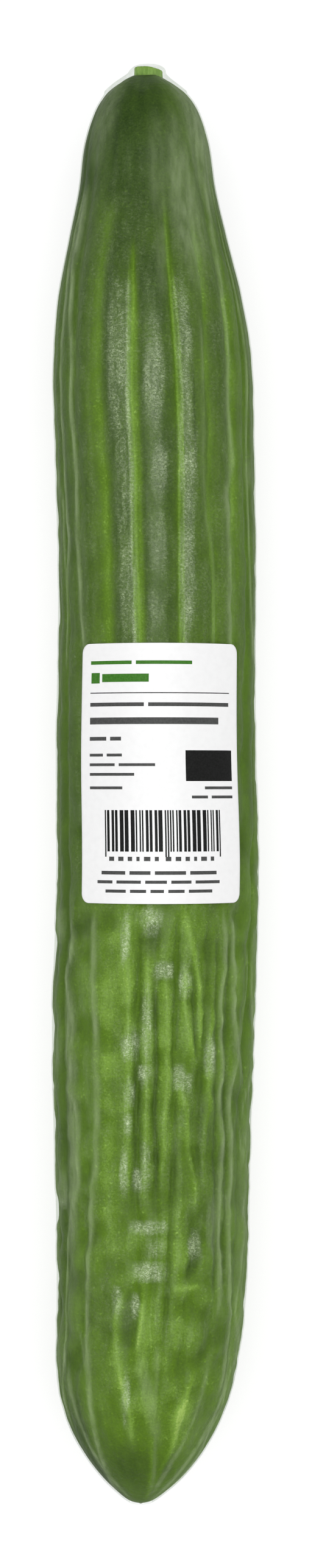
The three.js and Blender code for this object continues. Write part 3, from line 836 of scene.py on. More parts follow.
@dataclass(frozen=True)
class WaxySkin:
    """Cucumber skin as it grew: a thin waxy layer over green flesh, darker towards the stem.

    The eye sees dark ribs, yellow-green furrows, fine pale specks and faint streaks along it. The
    specks are drawn about three times as coarse as real ones, so that they show.

    Attributes:
        shades: its greens, from the darkest to the palest.
        stops: where each of them lies on the scale of the tone.
        contrast: how far the piece's tone runs along that scale.
        streaks: the size of the streaks' noise in millimetres, its detail and its share of the tone.
        mottle: the same for the cloudy patches.
        grain: the same for the finest grain.
        breakup: how strongly the finer detail of these three shows.
        stretch: how much a pattern is scaled along the fruit for streaks.
        speck_mm: the size of the specks.
        speck_levels: the noise levels between which a speck comes in.
        speck_light: how much lighter a speck is.
        speck_height_mm: how high the specks stand out.
        speck_relief: how strongly that bends the light.
    """

    shades: tuple[str, ...] = ("2f4519", "425b21", "526f23", "608321", "82a840", "a4c460")
    stops: tuple[float, ...] = (0.0, 0.22, 0.44, 0.66, 0.88, 1.0)
    contrast: float = 0.88
    streaks: tuple[float, float, float] = (2.2, 5.0, 0.26)
    mottle: tuple[float, float, float] = (6.5, 8.0, 0.36)
    grain: tuple[float, float, float] = (0.42, 2.0, 0.40)
    breakup: float = 0.6
    stretch: float = 0.16
    speck_mm: float = 0.85
    speck_levels: tuple[float, float] = (0.60, 0.74)
    speck_light: float = 0.20
    speck_height_mm: float = 0.30
    speck_relief: float = 0.7

    def build(self) -> bpy.types.Material:
        """Makes the material, which reads the piece's tone attribute.

        Returns:
            The new material.
        """
        material, tree = new_material("waxy_cucumber_skin")
        place = add_node(tree, "TexCoord").outputs["Object"]
        stretch = (1.0, self.stretch, 1.0)
        along = add_node(tree, "Mapping", {"Vector": place, "Scale": stretch}).outputs[0]
        level = add_node(tree, "Attribute", attribute_name="tone").outputs["Fac"]
        specks = add_node(
            tree, "TexNoise", {"Vector": place, "Scale": 1.0 / (self.speck_mm * MM), "Detail": 3.0}
        ).outputs["Fac"]
        for where, (size, detail, share) in (
            (along, self.streaks),
            (place, self.mottle),
            (place, self.grain),
        ):
            noise = add_node(
                tree,
                "TexNoise",
                {
                    "Vector": where,
                    "Scale": 1.0 / (size * MM),
                    "Detail": detail,
                    "Roughness": self.breakup,
                },
            ).outputs["Fac"]
            evened = add_node(tree, "Math", {0: noise, 1: 0.5}, operation="SUBTRACT").outputs[0]
            level = add_node(
                tree, "Math", {0: evened, 1: share, 2: level}, operation="MULTIPLY_ADD"
            ).outputs[0]
        low, high = self.speck_levels
        bright = add_node(
            tree,
            "MapRange",
            {"Value": specks, "From Min": low, "From Max": high, "To Max": self.speck_light},
        ).outputs[0]
        level = add_node(tree, "Math", {0: level, 1: bright}, operation="ADD").outputs[0]
        level = add_node(
            tree, "Math", {0: level, 1: self.contrast}, operation="MULTIPLY"
        ).outputs[0]
        ramp = add_node(tree, "ValToRGB", {"Fac": level})
        set_ramp(ramp, tuple(zip(self.stops, self.shades)))
        bump = add_node(
            tree,
            "Bump",
            {
                "Height": specks,
                "Strength": self.speck_relief,
                "Distance": self.speck_height_mm * MM,
            },
        ).outputs[0]
        skin = add_node(
            tree,
            "BsdfPrincipled",
            {
                "Base Color": ramp.outputs["Color"],
                "Roughness": 0.5,
                "IOR": 1.4,
                "Specular IOR Level": 0.12,
                "Normal": bump,
            },
        )
        add_node(tree, "OutputMaterial", {"Surface": skin.outputs[0]})
        return material


@dataclass(frozen=True)
class CutStem:
    """The cut stem: moist green fibre, paler on the cut and ridged along its side.

    Attributes:
        green: its colour between the fibres.
        pale: the fibres' colour.
        fibre_mm: the width of a fibre's noise.
        ridge_mm: how high the fibres stand out.
    """

    green: str = "6c9630"
    pale: str = "98bd58"
    fibre_mm: float = 0.5
    ridge_mm: float = 0.15

    def build(self) -> bpy.types.Material:
        """Makes the material.

        Returns:
            The new material.
        """
        material, tree = new_material("moist_cut_stem")
        place = add_node(tree, "TexCoord").outputs["Object"]
        along = add_node(tree, "Mapping", {"Vector": place, "Scale": (1.0, 0.25, 1.0)}).outputs[0]
        fibres = add_node(
            tree, "TexNoise", {"Vector": along, "Scale": 1.0 / (self.fibre_mm * MM), "Detail": 3.0}
        ).outputs["Fac"]
        ramp = add_node(tree, "ValToRGB", {"Fac": fibres})
        set_ramp(ramp, ((0.3, self.green), (0.75, self.pale)))
        bump = add_node(
            tree, "Bump", {"Height": fibres, "Strength": 0.5, "Distance": self.ridge_mm * MM}
        ).outputs[0]
        stem = add_node(
            tree,
            "BsdfPrincipled",
            {"Base Color": ramp.outputs["Color"], "Roughness": 0.5, "Normal": bump},
        )
        add_node(tree, "OutputMaterial", {"Surface": stem.outputs[0]})
        return material


@dataclass(frozen=True)
class ShrinkFilm:
    """Clear polyolefin film, heat-shrunk on the skin: it shows as gloss and as pale folds.

    Where it clings to a rib, tiny creases in clusters show as silvery glints, which are painted
    highlights: a pale diffuse veil, not reflection. They are drawn several times as coarse as
    real ones, so that they show. Where it spans a furrow it is clear and smooth. In a fold, and
    where it stands off the skin, it is pale: partly its own milkiness, partly a painted sheen by
    the same veil. It is so thin that its gloss is faint, and stronger at a grazing angle.

    Attributes:
        clear: what it lets through face on.
        edge: what it lets through at a grazing angle.
        face_on_level: the share of light that it reflects face on.
        edge_level: the share at which it has the colour of its edge.
        veil: the colour of the pale diffuse veil: the painted glints on creases, and the pale
        places of milkiness and painted sheen.
        ior: its index of refraction.
        haze: the roughness of the broad half of its gloss.
        gloss: the roughness of the sharp half.
        gloss_shares: how strong the gloss is where it is loose and where it clings.
        grazing: how much stronger the gloss is at the flattest angle.
        wrinkle_mm: the size of the wrinkles that the gloss runs over.
        wrinkle_height_mm: how high they are.
        wrinkle_relief: how strongly they bend the light where it is loose and where it clings.
        crease_mm: the size of the tiny creases.
        crease_levels: the noise levels between which a crease comes in.
        crease_shares: how white the painted glints make the film between creases and on them.
        cluster_mm: the size of the creases' clusters.
        cluster_levels: the noise levels between which a cluster comes in.
        cluster_shares: how much of the creases is left between clusters and in them.
        streak_mm: the size of the streaks in the pale places of milkiness and painted sheen.
        streak_levels: the noise levels between which a streak comes in.
        streak_shares: how much of the milkiness is left between streaks and in them.
    """

    clear: str = "fcfcfc"
    edge: str = "f8f9f8"
    face_on_level: float = 0.03
    edge_level: float = 0.35
    veil: str = "e8fcc9"
    ior: float = 1.45
    haze: float = 0.40
    gloss: float = 0.17
    gloss_shares: tuple[float, float] = (0.001, 0.022)
    grazing: float = 3.0
    wrinkle_mm: float = 0.55
    wrinkle_height_mm: float = 0.34
    wrinkle_relief: tuple[float, float] = (0.12, 1.0)
    crease_mm: float = 0.36
    crease_levels: tuple[float, float] = (0.48, 0.68)
    crease_shares: tuple[float, float] = (0.04, 0.28)
    cluster_mm: float = 1.3
    cluster_levels: tuple[float, float] = (0.36, 0.68)
    cluster_shares: tuple[float, float] = (0.35, 1.7)
    streak_mm: float = 1.1
    streak_levels: tuple[float, float] = (0.30, 0.70)
    streak_shares: tuple[float, float] = (0.35, 0.9)

    def build(self) -> bpy.types.Material:
        """Makes the material from the piece's cling and milky_and_sheen attributes.

        Returns:
            The new material.
        """
        material, tree = new_material("clear_shrink_film")
        place = add_node(tree, "TexCoord").outputs["Object"]
        across = add_node(
            tree, "Mapping", {"Vector": place, "Rotation": (0.0, 0.0, 0.5), "Scale": (0.7, 1.0, 0.7)}
        ).outputs[0]
        along = add_node(tree, "Mapping", {"Vector": place, "Scale": (1.0, 0.2, 1.0)}).outputs[0]
        cling = add_node(tree, "Attribute", attribute_name="cling").outputs["Fac"]
        wrinkles = add_node(
            tree, "TexNoise", {"Vector": across, "Scale": 1.0 / (self.wrinkle_mm * MM), "Detail": 3.0}
        ).outputs["Fac"]
        loose, tight = self.wrinkle_relief
        relief = add_node(
            tree, "MapRange", {"Value": cling, "To Min": loose, "To Max": tight}
        ).outputs[0]
        bump = add_node(
            tree,
            "Bump",
            {"Height": wrinkles, "Strength": relief, "Distance": self.wrinkle_height_mm * MM},
        ).outputs[0]
        fresnel = add_node(tree, "Fresnel", {"IOR": self.ior, "Normal": bump}).outputs[0]
        tint = add_node(tree, "ValToRGB", {"Fac": fresnel})
        set_ramp(tint, ((self.face_on_level, self.clear), (self.edge_level, self.edge)))
        clear = add_node(tree, "BsdfTransparent", {"Color": tint.outputs["Color"]}).outputs[0]
        white = colour("ffffff")
        broad = add_node(
            tree, "BsdfGlossy", {"Color": white, "Roughness": self.haze, "Normal": bump}
        ).outputs[0]
        sharp = add_node(
            tree, "BsdfGlossy", {"Color": white, "Roughness": self.gloss, "Normal": bump}
        ).outputs[0]
        shine = add_node(tree, "MixShader", {0: 0.5, 1: broad, 2: sharp}).outputs[0]
        loose, tight = self.gloss_shares
        face_on = add_node(
            tree, "MapRange", {"Value": cling, "To Min": loose, "To Max": tight}
        ).outputs[0]
        steep = add_node(
            tree,
            "MapRange",
            {"Value": fresnel, "From Min": self.face_on_level, "To Min": 1.0, "To Max": self.grazing},
        ).outputs[0]
        amount = add_node(tree, "Math", {0: face_on, 1: steep}, operation="MULTIPLY").outputs[0]
        creases = add_node(
            tree,
            "TexNoise",
            {"Vector": across, "Scale": 1.0 / (self.crease_mm * MM), "Detail": 2.0, "Distortion": 1.2},
        ).outputs["Fac"]
        clusters = add_node(
            tree, "TexNoise", {"Vector": along, "Scale": 1.0 / (self.cluster_mm * MM), "Detail": 3.0}
        ).outputs["Fac"]
        streaks = add_node(
            tree, "TexNoise", {"Vector": along, "Scale": 1.0 / (self.streak_mm * MM), "Detail": 4.0}
        ).outputs["Fac"]
        creased, clustered, streaked = (
            add_node(
                tree,
                "MapRange",
                {
                    "Value": noise,
                    "From Min": levels[0],
                    "From Max": levels[1],
                    "To Min": shares[0],
                    "To Max": shares[1],
                },
            ).outputs[0]
            for noise, levels, shares in (
                (creases, self.crease_levels, self.crease_shares),
                (clusters, self.cluster_levels, self.cluster_shares),
                (streaks, self.streak_levels, self.streak_shares),
            )
        )
        # Painted glints: creases in clusters, drawn as a pale diffuse veil rather than as reflection.
        glints = add_node(tree, "Math", {0: creased, 1: clustered}, operation="MULTIPLY").outputs[0]
        milky_and_sheen = add_node(tree, "Attribute", attribute_name="milky_and_sheen").outputs["Fac"]
        milky_and_sheen = add_node(tree, "Math", {0: milky_and_sheen, 1: streaked}, operation="MULTIPLY").outputs[0]
        whiteness = add_node(
            tree, "Math", {0: cling, 1: glints, 2: milky_and_sheen}, operation="MULTIPLY_ADD"
        ).outputs[0]
        # The diffuse veil paints the glints, and the pale places of milkiness and painted sheen.
        veil = add_node(tree, "BsdfDiffuse", {"Color": colour(self.veil)}).outputs[0]
        sheet = add_node(tree, "MixShader", {0: whiteness, 1: clear, 2: veil}).outputs[0]
        film = add_node(tree, "MixShader", {0: amount, 1: sheet, 2: shine}).outputs[0]
        add_node(tree, "OutputMaterial", {"Surface": film})
        return material


@dataclass(frozen=True)
class CoatedPaper:
    """White coated label paper: smooth, faintly mottled by its fibres, with a low sheen.

    Attributes:
        white: its colour.
        shade: its colour where the fibres lie thin.
        fibre_mm: the size of the mottle.
        fibre_height_mm: how high the fibres stand out.
    """

    white: str = "f6f6f6"
    shade: str = "f3f3f3"
    fibre_mm: float = 1.2
    fibre_height_mm: float = 0.02

    def build(self) -> bpy.types.Material:
        """Makes the material.

        Returns:
            The new material.
        """
        material, tree = new_material("white_coated_paper")
        place = add_node(tree, "TexCoord").outputs["Object"]
        fibres = add_node(
            tree, "TexNoise", {"Vector": place, "Scale": 1.0 / (self.fibre_mm * MM), "Detail": 4.0}
        ).outputs["Fac"]
        ramp = add_node(tree, "ValToRGB", {"Fac": fibres})
        set_ramp(ramp, ((0.3, self.shade), (0.6, self.white)))
        bump = add_node(
            tree, "Bump", {"Height": fibres, "Strength": 0.04, "Distance": self.fibre_height_mm * MM}
        ).outputs[0]
        paper = add_node(
            tree,
            "BsdfPrincipled",
            {"Base Color": ramp.outputs["Color"], "Roughness": 0.5, "Normal": bump},
        )
        add_node(tree, "OutputMaterial", {"Surface": paper.outputs[0]})
        return material


@dataclass(frozen=True)
class PrintingInk:
    """Printed ink on the label: flat colour that takes a little of the paper's mottle.

    Attributes:
        name: the material's name.
        full: its colour where it lies thick.
        thin: its colour where it lies thin.
        grain_mm: the size of the mottle.
    """

    name: str
    full: str
    thin: str
    grain_mm: float = 0.4

    def build(self) -> bpy.types.Material:
        """Makes the material.

        Returns:
            The new material.
        """
        material, tree = new_material(self.name)
        place = add_node(tree, "TexCoord").outputs["Object"]
        grain = add_node(
            tree, "TexNoise", {"Vector": place, "Scale": 1.0 / (self.grain_mm * MM), "Detail": 2.0}
        ).outputs["Fac"]
        ramp = add_node(tree, "ValToRGB", {"Fac": grain})
        set_ramp(ramp, ((0.35, self.full), (0.8, self.thin)))
        ink = add_node(
            tree,
            "BsdfPrincipled",
            {"Base Color": ramp.outputs["Color"], "Roughness": 0.55, "Specular IOR Level": 0.15},
        )
        add_node(tree, "OutputMaterial", {"Surface": ink.outputs[0]})
        return material


@dataclass(frozen=True)
class Greens:
    """How light the skin's green is, in shares of the way from the darkest to the lightest.

    Attributes:
        stem: at the stem.
        rim: what the rim of the hollow round the stem adds: painted light on the shoulder there,
        which turns away from the lights.
        body: what the body adds to the stem's.
        below: what the body below the label adds.
        left_below: how much of that the left side loses.
        crest_below: what the top line adds there.
        cone: how much the blossom cone loses.
        right_cone: what share of that loss its right side is spared.
        painted_sheen_right_neck: what the right side of the neck adds, as a painted sheen.
        right_body: what the right side of the body above the label adds.
        furrow: what a furrow adds on top.
        side_furrow: what it adds besides at the sides.
        patches: how strong the patches are above the label.
        patches_below: how much stronger they are below it.
        painted_relief_shading: what a millimetre of relief adds there, as painted shade in dents
            and painted highlight on ridges.
        painted_shading_middle: the relief that adds nothing, in millimetres.
        painted_shading_limits: between what limits, from there, it counts.
        brightest: the highest tone.
    """

    stem: float = 0.14
    rim: float = 0.12
    body: float = 0.22
    below: float = 0.215
    left_below: float = 0.20
    crest_below: float = 0.10
    cone: float = 0.20
    right_cone: float = 1.3
    painted_sheen_right_neck: float = 0.18
    right_body: float = 0.08
    furrow: float = 0.10
    side_furrow: float = 0.22
    patches: float = 0.3
    patches_below: float = 0.35
    painted_relief_shading: float = 0.20
    painted_shading_middle: float = -0.25
    painted_shading_limits: tuple[float, float] = (-0.6, 0.5)
    brightest: float = 1.1


@dataclass
class Fruit:
    """The grown fruit: its ribbed skin with the hollow that the stub stands in.

    Attributes:
        form: the shape that it follows.
        rows: how many rings it has.
        columns: how many points each ring has.
        crowded_ends: how much closer the rings are at both ends.
        crowded_top: how much closer the columns are on top.
        lift: how far its skin stands off the outline, in millimetres as all that follow.
        floor: the height that no point of it is under.
        stub_side: how far towards +X the stub stands.
        hollow_radius: the radius of the hollow round the stub.
        hollow_rim: where the hollow starts along the fruit.
        hollow_floor: where it ends.
        greens: how light its skin is from place to place.
    """

    form: Form
    rows: int = 300
    columns: int = 312
    crowded_ends: float = 0.35
    crowded_top: float = 0.32
    lift: float = 0.25
    floor: float = 0.5
    stub_side: float = -1.6
    hollow_radius: float = 3.45
    hollow_rim: float = 149.7
    hollow_floor: float = 148.7
    greens: Greens = Greens()

    def build(self) -> bpy.types.Object:
        """Makes the fruit and dresses it.

        The surface is the outline's radius plus the relief, round the bowed axis. Two more rings go
        down into the hollow round the stub's own axis.

        Returns:
            The finished piece.
        """
        place, radius = self.form.outline(self.form.stations(self.rows, self.crowded_ends))
        angle = self.form.angles(self.columns, self.crowded_top)
        y, theta = np.meshgrid(place, angle, indexing="ij")
        relief, furrow = self.form.skin(y, theta)
        rings = self.form.points(y, radius[:, None] + self.lift + relief, theta, self.floor)
        height = REST_HEIGHT + END_LIFT * (self.hollow_floor / HALF_LENGTH) ** 2
        turn = np.arctan2(rings[-1, :, 0] - self.stub_side, rings[-1, :, 2] - height)
        hollow = [
            np.stack([
                self.stub_side + self.hollow_radius * np.sin(turn),
                np.full(self.columns, level),
                height + self.hollow_radius * np.cos(turn),
            ], axis=-1)
            for level in (self.hollow_rim, self.hollow_floor)
        ]
        tip = self.form.points(np.array([OUTLINE[0, 0] - self.lift]), np.zeros(1), np.zeros(1), 0.0)
        bottom = np.array([[self.stub_side, self.hollow_floor, height]])
        points = np.concatenate([tip, rings.reshape(-1, 3), *hollow, bottom])
        piece = make_mesh("cucumber_skin", points, *ring_faces(self.rows + 2, self.columns))
        tone = self.tone(y, theta, relief, furrow)
        ends = np.full(2 * self.columns + 1, tone[-1].mean())
        set_attribute(piece, "tone", np.concatenate([[tone[0].mean()], tone.ravel(), ends]))
        piece.data.materials.append(WaxySkin().build())
        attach(piece, "root")
        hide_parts("cucumber_fruit")
        return piece

    def tone(
        self, y: np.ndarray, angle: np.ndarray, relief: np.ndarray, furrow: np.ndarray
    ) -> np.ndarray:
        """How light the skin is, from 0, the darkest green, to about 1, the lightest.

        It rises from the stem down, in furrows, in broad patches, and in slow streaks. Below the label
        it falls in dents and rises on ridges: painted shade and painted highlight. Painted light
        lifts the rim round the stem, and a painted sheen the right side of the neck. Both upper sides
        differ a little, and the difference fades out under the fruit. Each line adds its own share,
        from Greens.

        Args:
            y: places, of rows by columns.
            angle: angles there.
            relief: the relief of the skin.
            furrow: how deep in a furrow each point lies.

        Returns:
            The tone, of the same shape.
        """
        green = self.greens
        off_top = np.abs(angle)
        crest, side = smooth(off_top, 32.0, 12.0), smooth(off_top, 50.0, 80.0)
        upper_half = 1.0 - smooth(off_top, *UNDERSIDE)
        left = smooth(angle, -38.0, -60.0) * upper_half
        right = smooth(angle, 6.0, 34.0) * upper_half
        rim, neck = smooth(y, 142.0, 150.0), smooth(y, 90.0, 118.0)
        body, below = smooth(y, 135.0, 90.0), smooth(y, 20.0, -35.0)
        above = smooth(y, 118.0, 95.0) * (1.0 - below)
        cone = smooth(y, -128.0, -146.0)
        # The rim's share is painted light on the shoulder round the stem.
        tone = green.stem + green.rim * rim + green.body * body
        tone = tone + below * (green.below - green.left_below * left + green.crest_below * crest)
        tone = tone - green.cone * cone * (1.0 - green.right_cone * right)
        # The right side of the neck takes a painted sheen.
        tone = tone + right * (green.painted_sheen_right_neck * neck + green.right_body * above)
        tone = tone + furrow * (green.furrow + green.side_furrow * side)
        patches = sum(wave.at(y, angle) for wave in PATCHES)
        tone = tone + patches * (green.patches + green.patches_below * below) + STREAKS.at(y, angle)
        # Painted shade in dents and painted highlight on ridges below the label, from the relief.
        raised = np.clip(relief - green.painted_shading_middle, *green.painted_shading_limits)
        tone = tone + green.painted_relief_shading * below * raised
        radius = self.form.radius(y)
        for mark in (*SKIN_LINES, *SKIN_SPOTS):
            tone = tone + mark.tone * mark.weight(y, angle, radius)
        return np.clip(tone, 0.0, green.brightest)


@dataclass
class Stub:
    """The short cut end of the stem, slightly five-cornered, with a sloping cut.

    Attributes:
        side: how far towards +X it stands, in millimetres as all lengths here.
        root: where it starts along the fruit.
        top: where it ends.
        radius: its radius.
        flare: how much wider it is at its lower rings.
        flare_rise: how far up these rings are, as shares of its length.
        chamfer: the rounding of the cut's edge.
        slope: how much the cut slopes, for each millimetre towards +X.
        dish: how deep the cut is dished.
        dish_rings: the rings in the dish, as shares of its radius.
        corners: how many corners it has.
        corner_depth: half of how far they stand out.
        grooves: how many shallow grooves it has.
        groove_depth: half of how deep they are.
        columns: how many points each ring has.
    """

    side: float = -1.6
    root: float = 148.9
    top: float = 152.45
    radius: float = 3.05
    flare: tuple[float, ...] = (0.15, 0.1, 0.04, 0.0, 0.0)
    flare_rise: tuple[float, ...] = (0.0, 0.25, 0.5, 0.7, 0.82)
    chamfer: float = 0.5
    slope: float = 0.13
    dish: float = 0.18
    dish_rings: tuple[float, ...] = (0.75, 0.5, 0.25, 0.1)
    corners: int = 5
    corner_depth: float = 0.12
    grooves: int = 19
    groove_depth: float = 0.05
    columns: int = 120

    def build(self) -> bpy.types.Object:
        """Makes the stub and dresses it.

        Its radius falls by a quarter circle at the cut, swells by the cosine of five times the angle
        and is grooved by shallow waves. The cut slopes down towards +X and is dished.

        Returns:
            The finished piece.
        """
        turn = np.linspace(0.0, np.pi / 2, 7)[1:]
        inward = np.array(self.dish_rings)
        level = np.concatenate([
            self.root + np.array(self.flare_rise) * (self.top - self.root),
            self.top - self.chamfer * (1.0 - np.sin(turn)),
            self.top - self.dish * (1.0 - inward) ** 2,
        ])
        radius = np.concatenate([
            self.radius + np.array(self.flare),
            self.radius - self.chamfer * (1.0 - np.cos(turn)),
            inward * (self.radius - self.chamfer),
        ])
        angle = np.arange(self.columns) / self.columns * 2 * np.pi
        y, theta = np.meshgrid(level, angle, indexing="ij")
        swell = self.corner_depth * (np.cos(self.corners * theta) - 1.0)
        swell = swell + self.groove_depth * np.sin(self.grooves * theta + 2.0)
        r = radius[:, None] * (1.0 + swell / self.radius)
        x = r * np.sin(theta)
        y = y - self.slope * x * smooth(y, self.root, self.top)
        height = REST_HEIGHT + END_LIFT * (self.root / HALF_LENGTH) ** 2
        rings = np.stack([self.side + x, y, height + r * np.cos(theta)], axis=-1)
        ends = np.array([[self.side, self.root, height], [self.side, self.top - self.dish, height]])
        points = np.concatenate([ends[:1], rings.reshape(-1, 3), ends[1:]])
        piece = make_mesh("stem_end", points, *ring_faces(len(level), self.columns))
        piece.data.materials.append(CutStem().build())
        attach(piece, "root")
        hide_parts("stem_stub")
        return piece


@dataclass
class Film:
    """The clear film round the fruit and over the stub: a closed sheet with an outer and inner face.

    Attributes:
        form: the shape that it follows.
        rows: how many rings each face has on the fruit.
        columns: how many points each ring has.
        tent_steps: how many rings there are between two points of the tent.
        crowded_ends: how much closer the rings are at both ends.
        crowded_top: how much closer the columns are on top.
        inner: how far the inner face stands off the outline, in millimetres.
        outer: how far the outer face does.
    """

    form: Form
    rows: int = 196
    columns: int = 232
    tent_steps: int = 4
    crowded_ends: float = 0.4
    crowded_top: float = 0.35
    inner: float = 0.44
    outer: float = 0.54

    def build(self) -> bpy.types.Object:
        """Makes the film and dresses it.

        Each face is the outline and the tent, lifted square to themselves, plus the film's relief. The
        two faces join at the eyelet.

        Returns:
            The finished piece.
        """
        stations = self.form.stations(self.rows, self.crowded_ends)
        place, radius = self.form.outline(stations)
        covered = (stations > EYELET_RADIUS) & (place < TENT[0, 0])
        start = self.form.outline(np.array([EYELET_RADIUS]))
        knots = np.arange(len(TENT))
        share = np.linspace(0.0, knots[-1], self.tent_steps * knots[-1] + 1)
        tent = np.stack([curve(knots, TENT[:, 0], share), curve(knots, TENT[:, 1], share)], axis=-1)
        path = np.concatenate([
            np.stack(start, axis=-1), np.stack([place[covered], radius[covered]], axis=-1), tent,
        ])
        angle = self.form.angles(self.columns, self.crowded_top)
        outer, cling, milky_and_sheen = self.face(path, angle, self.outer, 0.0)
        inner, _, _ = self.face(path, angle, self.inner, self.outer - self.inner)
        cap = self.form.points(path[-1:, 0] + [self.inner], np.zeros(1), np.zeros(1), 0.0)
        top = self.form.points(path[-1:, 0] + [self.outer], np.zeros(1), np.zeros(1), 0.0)
        rings = np.concatenate([inner[::-1], outer])
        points = np.concatenate([cap, rings.reshape(-1, 3), top])
        piece = make_mesh("film_wrap", points, *ring_faces(len(rings), self.columns))
        for name, values in (("cling", cling), ("milky_and_sheen", milky_and_sheen)):
            both = np.concatenate([values[::-1].ravel(), values.ravel()])
            set_attribute(piece, name, np.concatenate([[0.0], both, [0.0]]))
        piece.data.materials.append(ShrinkFilm().build())
        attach(piece, "root")
        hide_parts("shrink_film")
        return piece

    def face(
        self, path: np.ndarray, angle: np.ndarray, lift: float, floor: float
    ) -> tuple[np.ndarray, np.ndarray, np.ndarray]:
        """One face of the film, without the middle of its cap.

        Args:
            path: places and radii from the eyelet to the middle of the cap.
            angle: the angles of its columns.
            lift: how far the face stands off the path.
            floor: its lowest height.

        Returns:
            Its points, how closely it clings to the skin there, which also sets the painted glints,
            and its milkiness, partly a painted sheen, of rows by columns.
        """
        along = np.gradient(path, axis=0)
        along /= np.hypot(along[:, 0], along[:, 1])[:, None]
        lifted = path + lift * np.stack([-along[:, 1], along[:, 0]], axis=-1)
        y, theta = np.meshgrid(lifted[:-1, 0], angle, indexing="ij")
        relief, cling, milky_and_sheen = self.form.film(y, theta)
        return self.form.points(y, lifted[:-1, 1:] + relief, theta, floor), cling, milky_and_sheen


class Ink(Enum):
    """What a part of the label's face is covered with, as the number of its material."""

    PAPER = 0
    BLACK = 1
    GREEN = 2
    GREY = 3


@dataclass(frozen=True)
class Block:
    """A plain printed rectangle: its middle and size on the label in millimetres, and its ink."""

    x: float
    y: float
    width: float
    height: float
    ink: Ink


# The draw that varies the lengths of a rule's strokes starts from this, and the rule's height.
RULE_SEED = 100


@dataclass(frozen=True)
class Rule:
    """A row of short plain strokes along one line, like ruled lines to write on.

    Attributes:
        y: its height over the label's middle, in millimetres.
        left: where it starts.
        right: where it ends.
        height: how thick the strokes are.
        strokes: how many there are, about equally long.
        ink: what they are printed with.
    """

    y: float
    left: float
    right: float
    height: float
    strokes: int
    ink: Ink = Ink.GREY

    def blocks(self, gap: float = 0.9) -> list[Block]:
        """The strokes as rectangles, with their lengths varied by a seeded draw.

        Args:
            gap: the gap between two strokes, in millimetres.

        Returns:
            One rectangle for each stroke.
        """
        draw = np.random.default_rng(RULE_SEED + int(round(3 * self.y)))
        shares = draw.uniform(0.6, 1.4, self.strokes)
        lengths = shares / shares.sum() * (self.right - self.left - gap * (self.strokes - 1))
        ends = self.left + np.cumsum(lengths + gap) - gap
        return [
            Block(float(end - length / 2), self.y, float(length), self.height, self.ink)
            for end, length in zip(ends, lengths)
        ]


# The label's print, in plain generic shapes: a thin rule, a dark block and green ones, then rows of
# strokes, at heights over the label's middle.
BLOCKS = (
    Block(0.0, 16.7, 32.0, 0.2, Ink.BLACK),
    Block(-14.7, 19.8, 2.2, 2.2, Ink.GREEN),
    Block(10.9, 1.6, 11.4, 6.4, Ink.BLACK),
)
RULES = (
    Rule(23.0, -16.0, 6.6, 0.75, 2, Ink.GREEN),
    Rule(19.8, -13.0, -2.6, 1.7, 1, Ink.GREEN),
    Rule(14.3, -16.0, 15.8, 0.8, 2),
    Rule(10.9, -16.0, 13.0, 1.4, 1),
    Rule(7.2, -16.0, -8.4, 0.8, 2),
    Rule(3.8, -16.0, -8.2, 0.6, 2),
    Rule(1.8, -16.0, -1.2, 0.6, 2),
    Rule(-0.2, -16.0, -5.6, 0.6, 1),
    Rule(-3.0, -16.0, -8.2, 0.6, 1),
    Rule(-3.0, 9.4, 16.6, 0.6, 1),
    Rule(-4.9, 6.4, 16.6, 0.6, 2),
    Rule(-17.7, -11.4, -0.8, 0.9, 6),
    Rule(-17.7, 0.6, 11.2, 0.9, 6),
    Rule(-20.6, -13.2, 11.8, 0.75, 4),
    Rule(-22.5, -14.2, 12.6, 0.65, 5),
    Rule(-24.4, -12.2, 10.8, 0.65, 5),
)


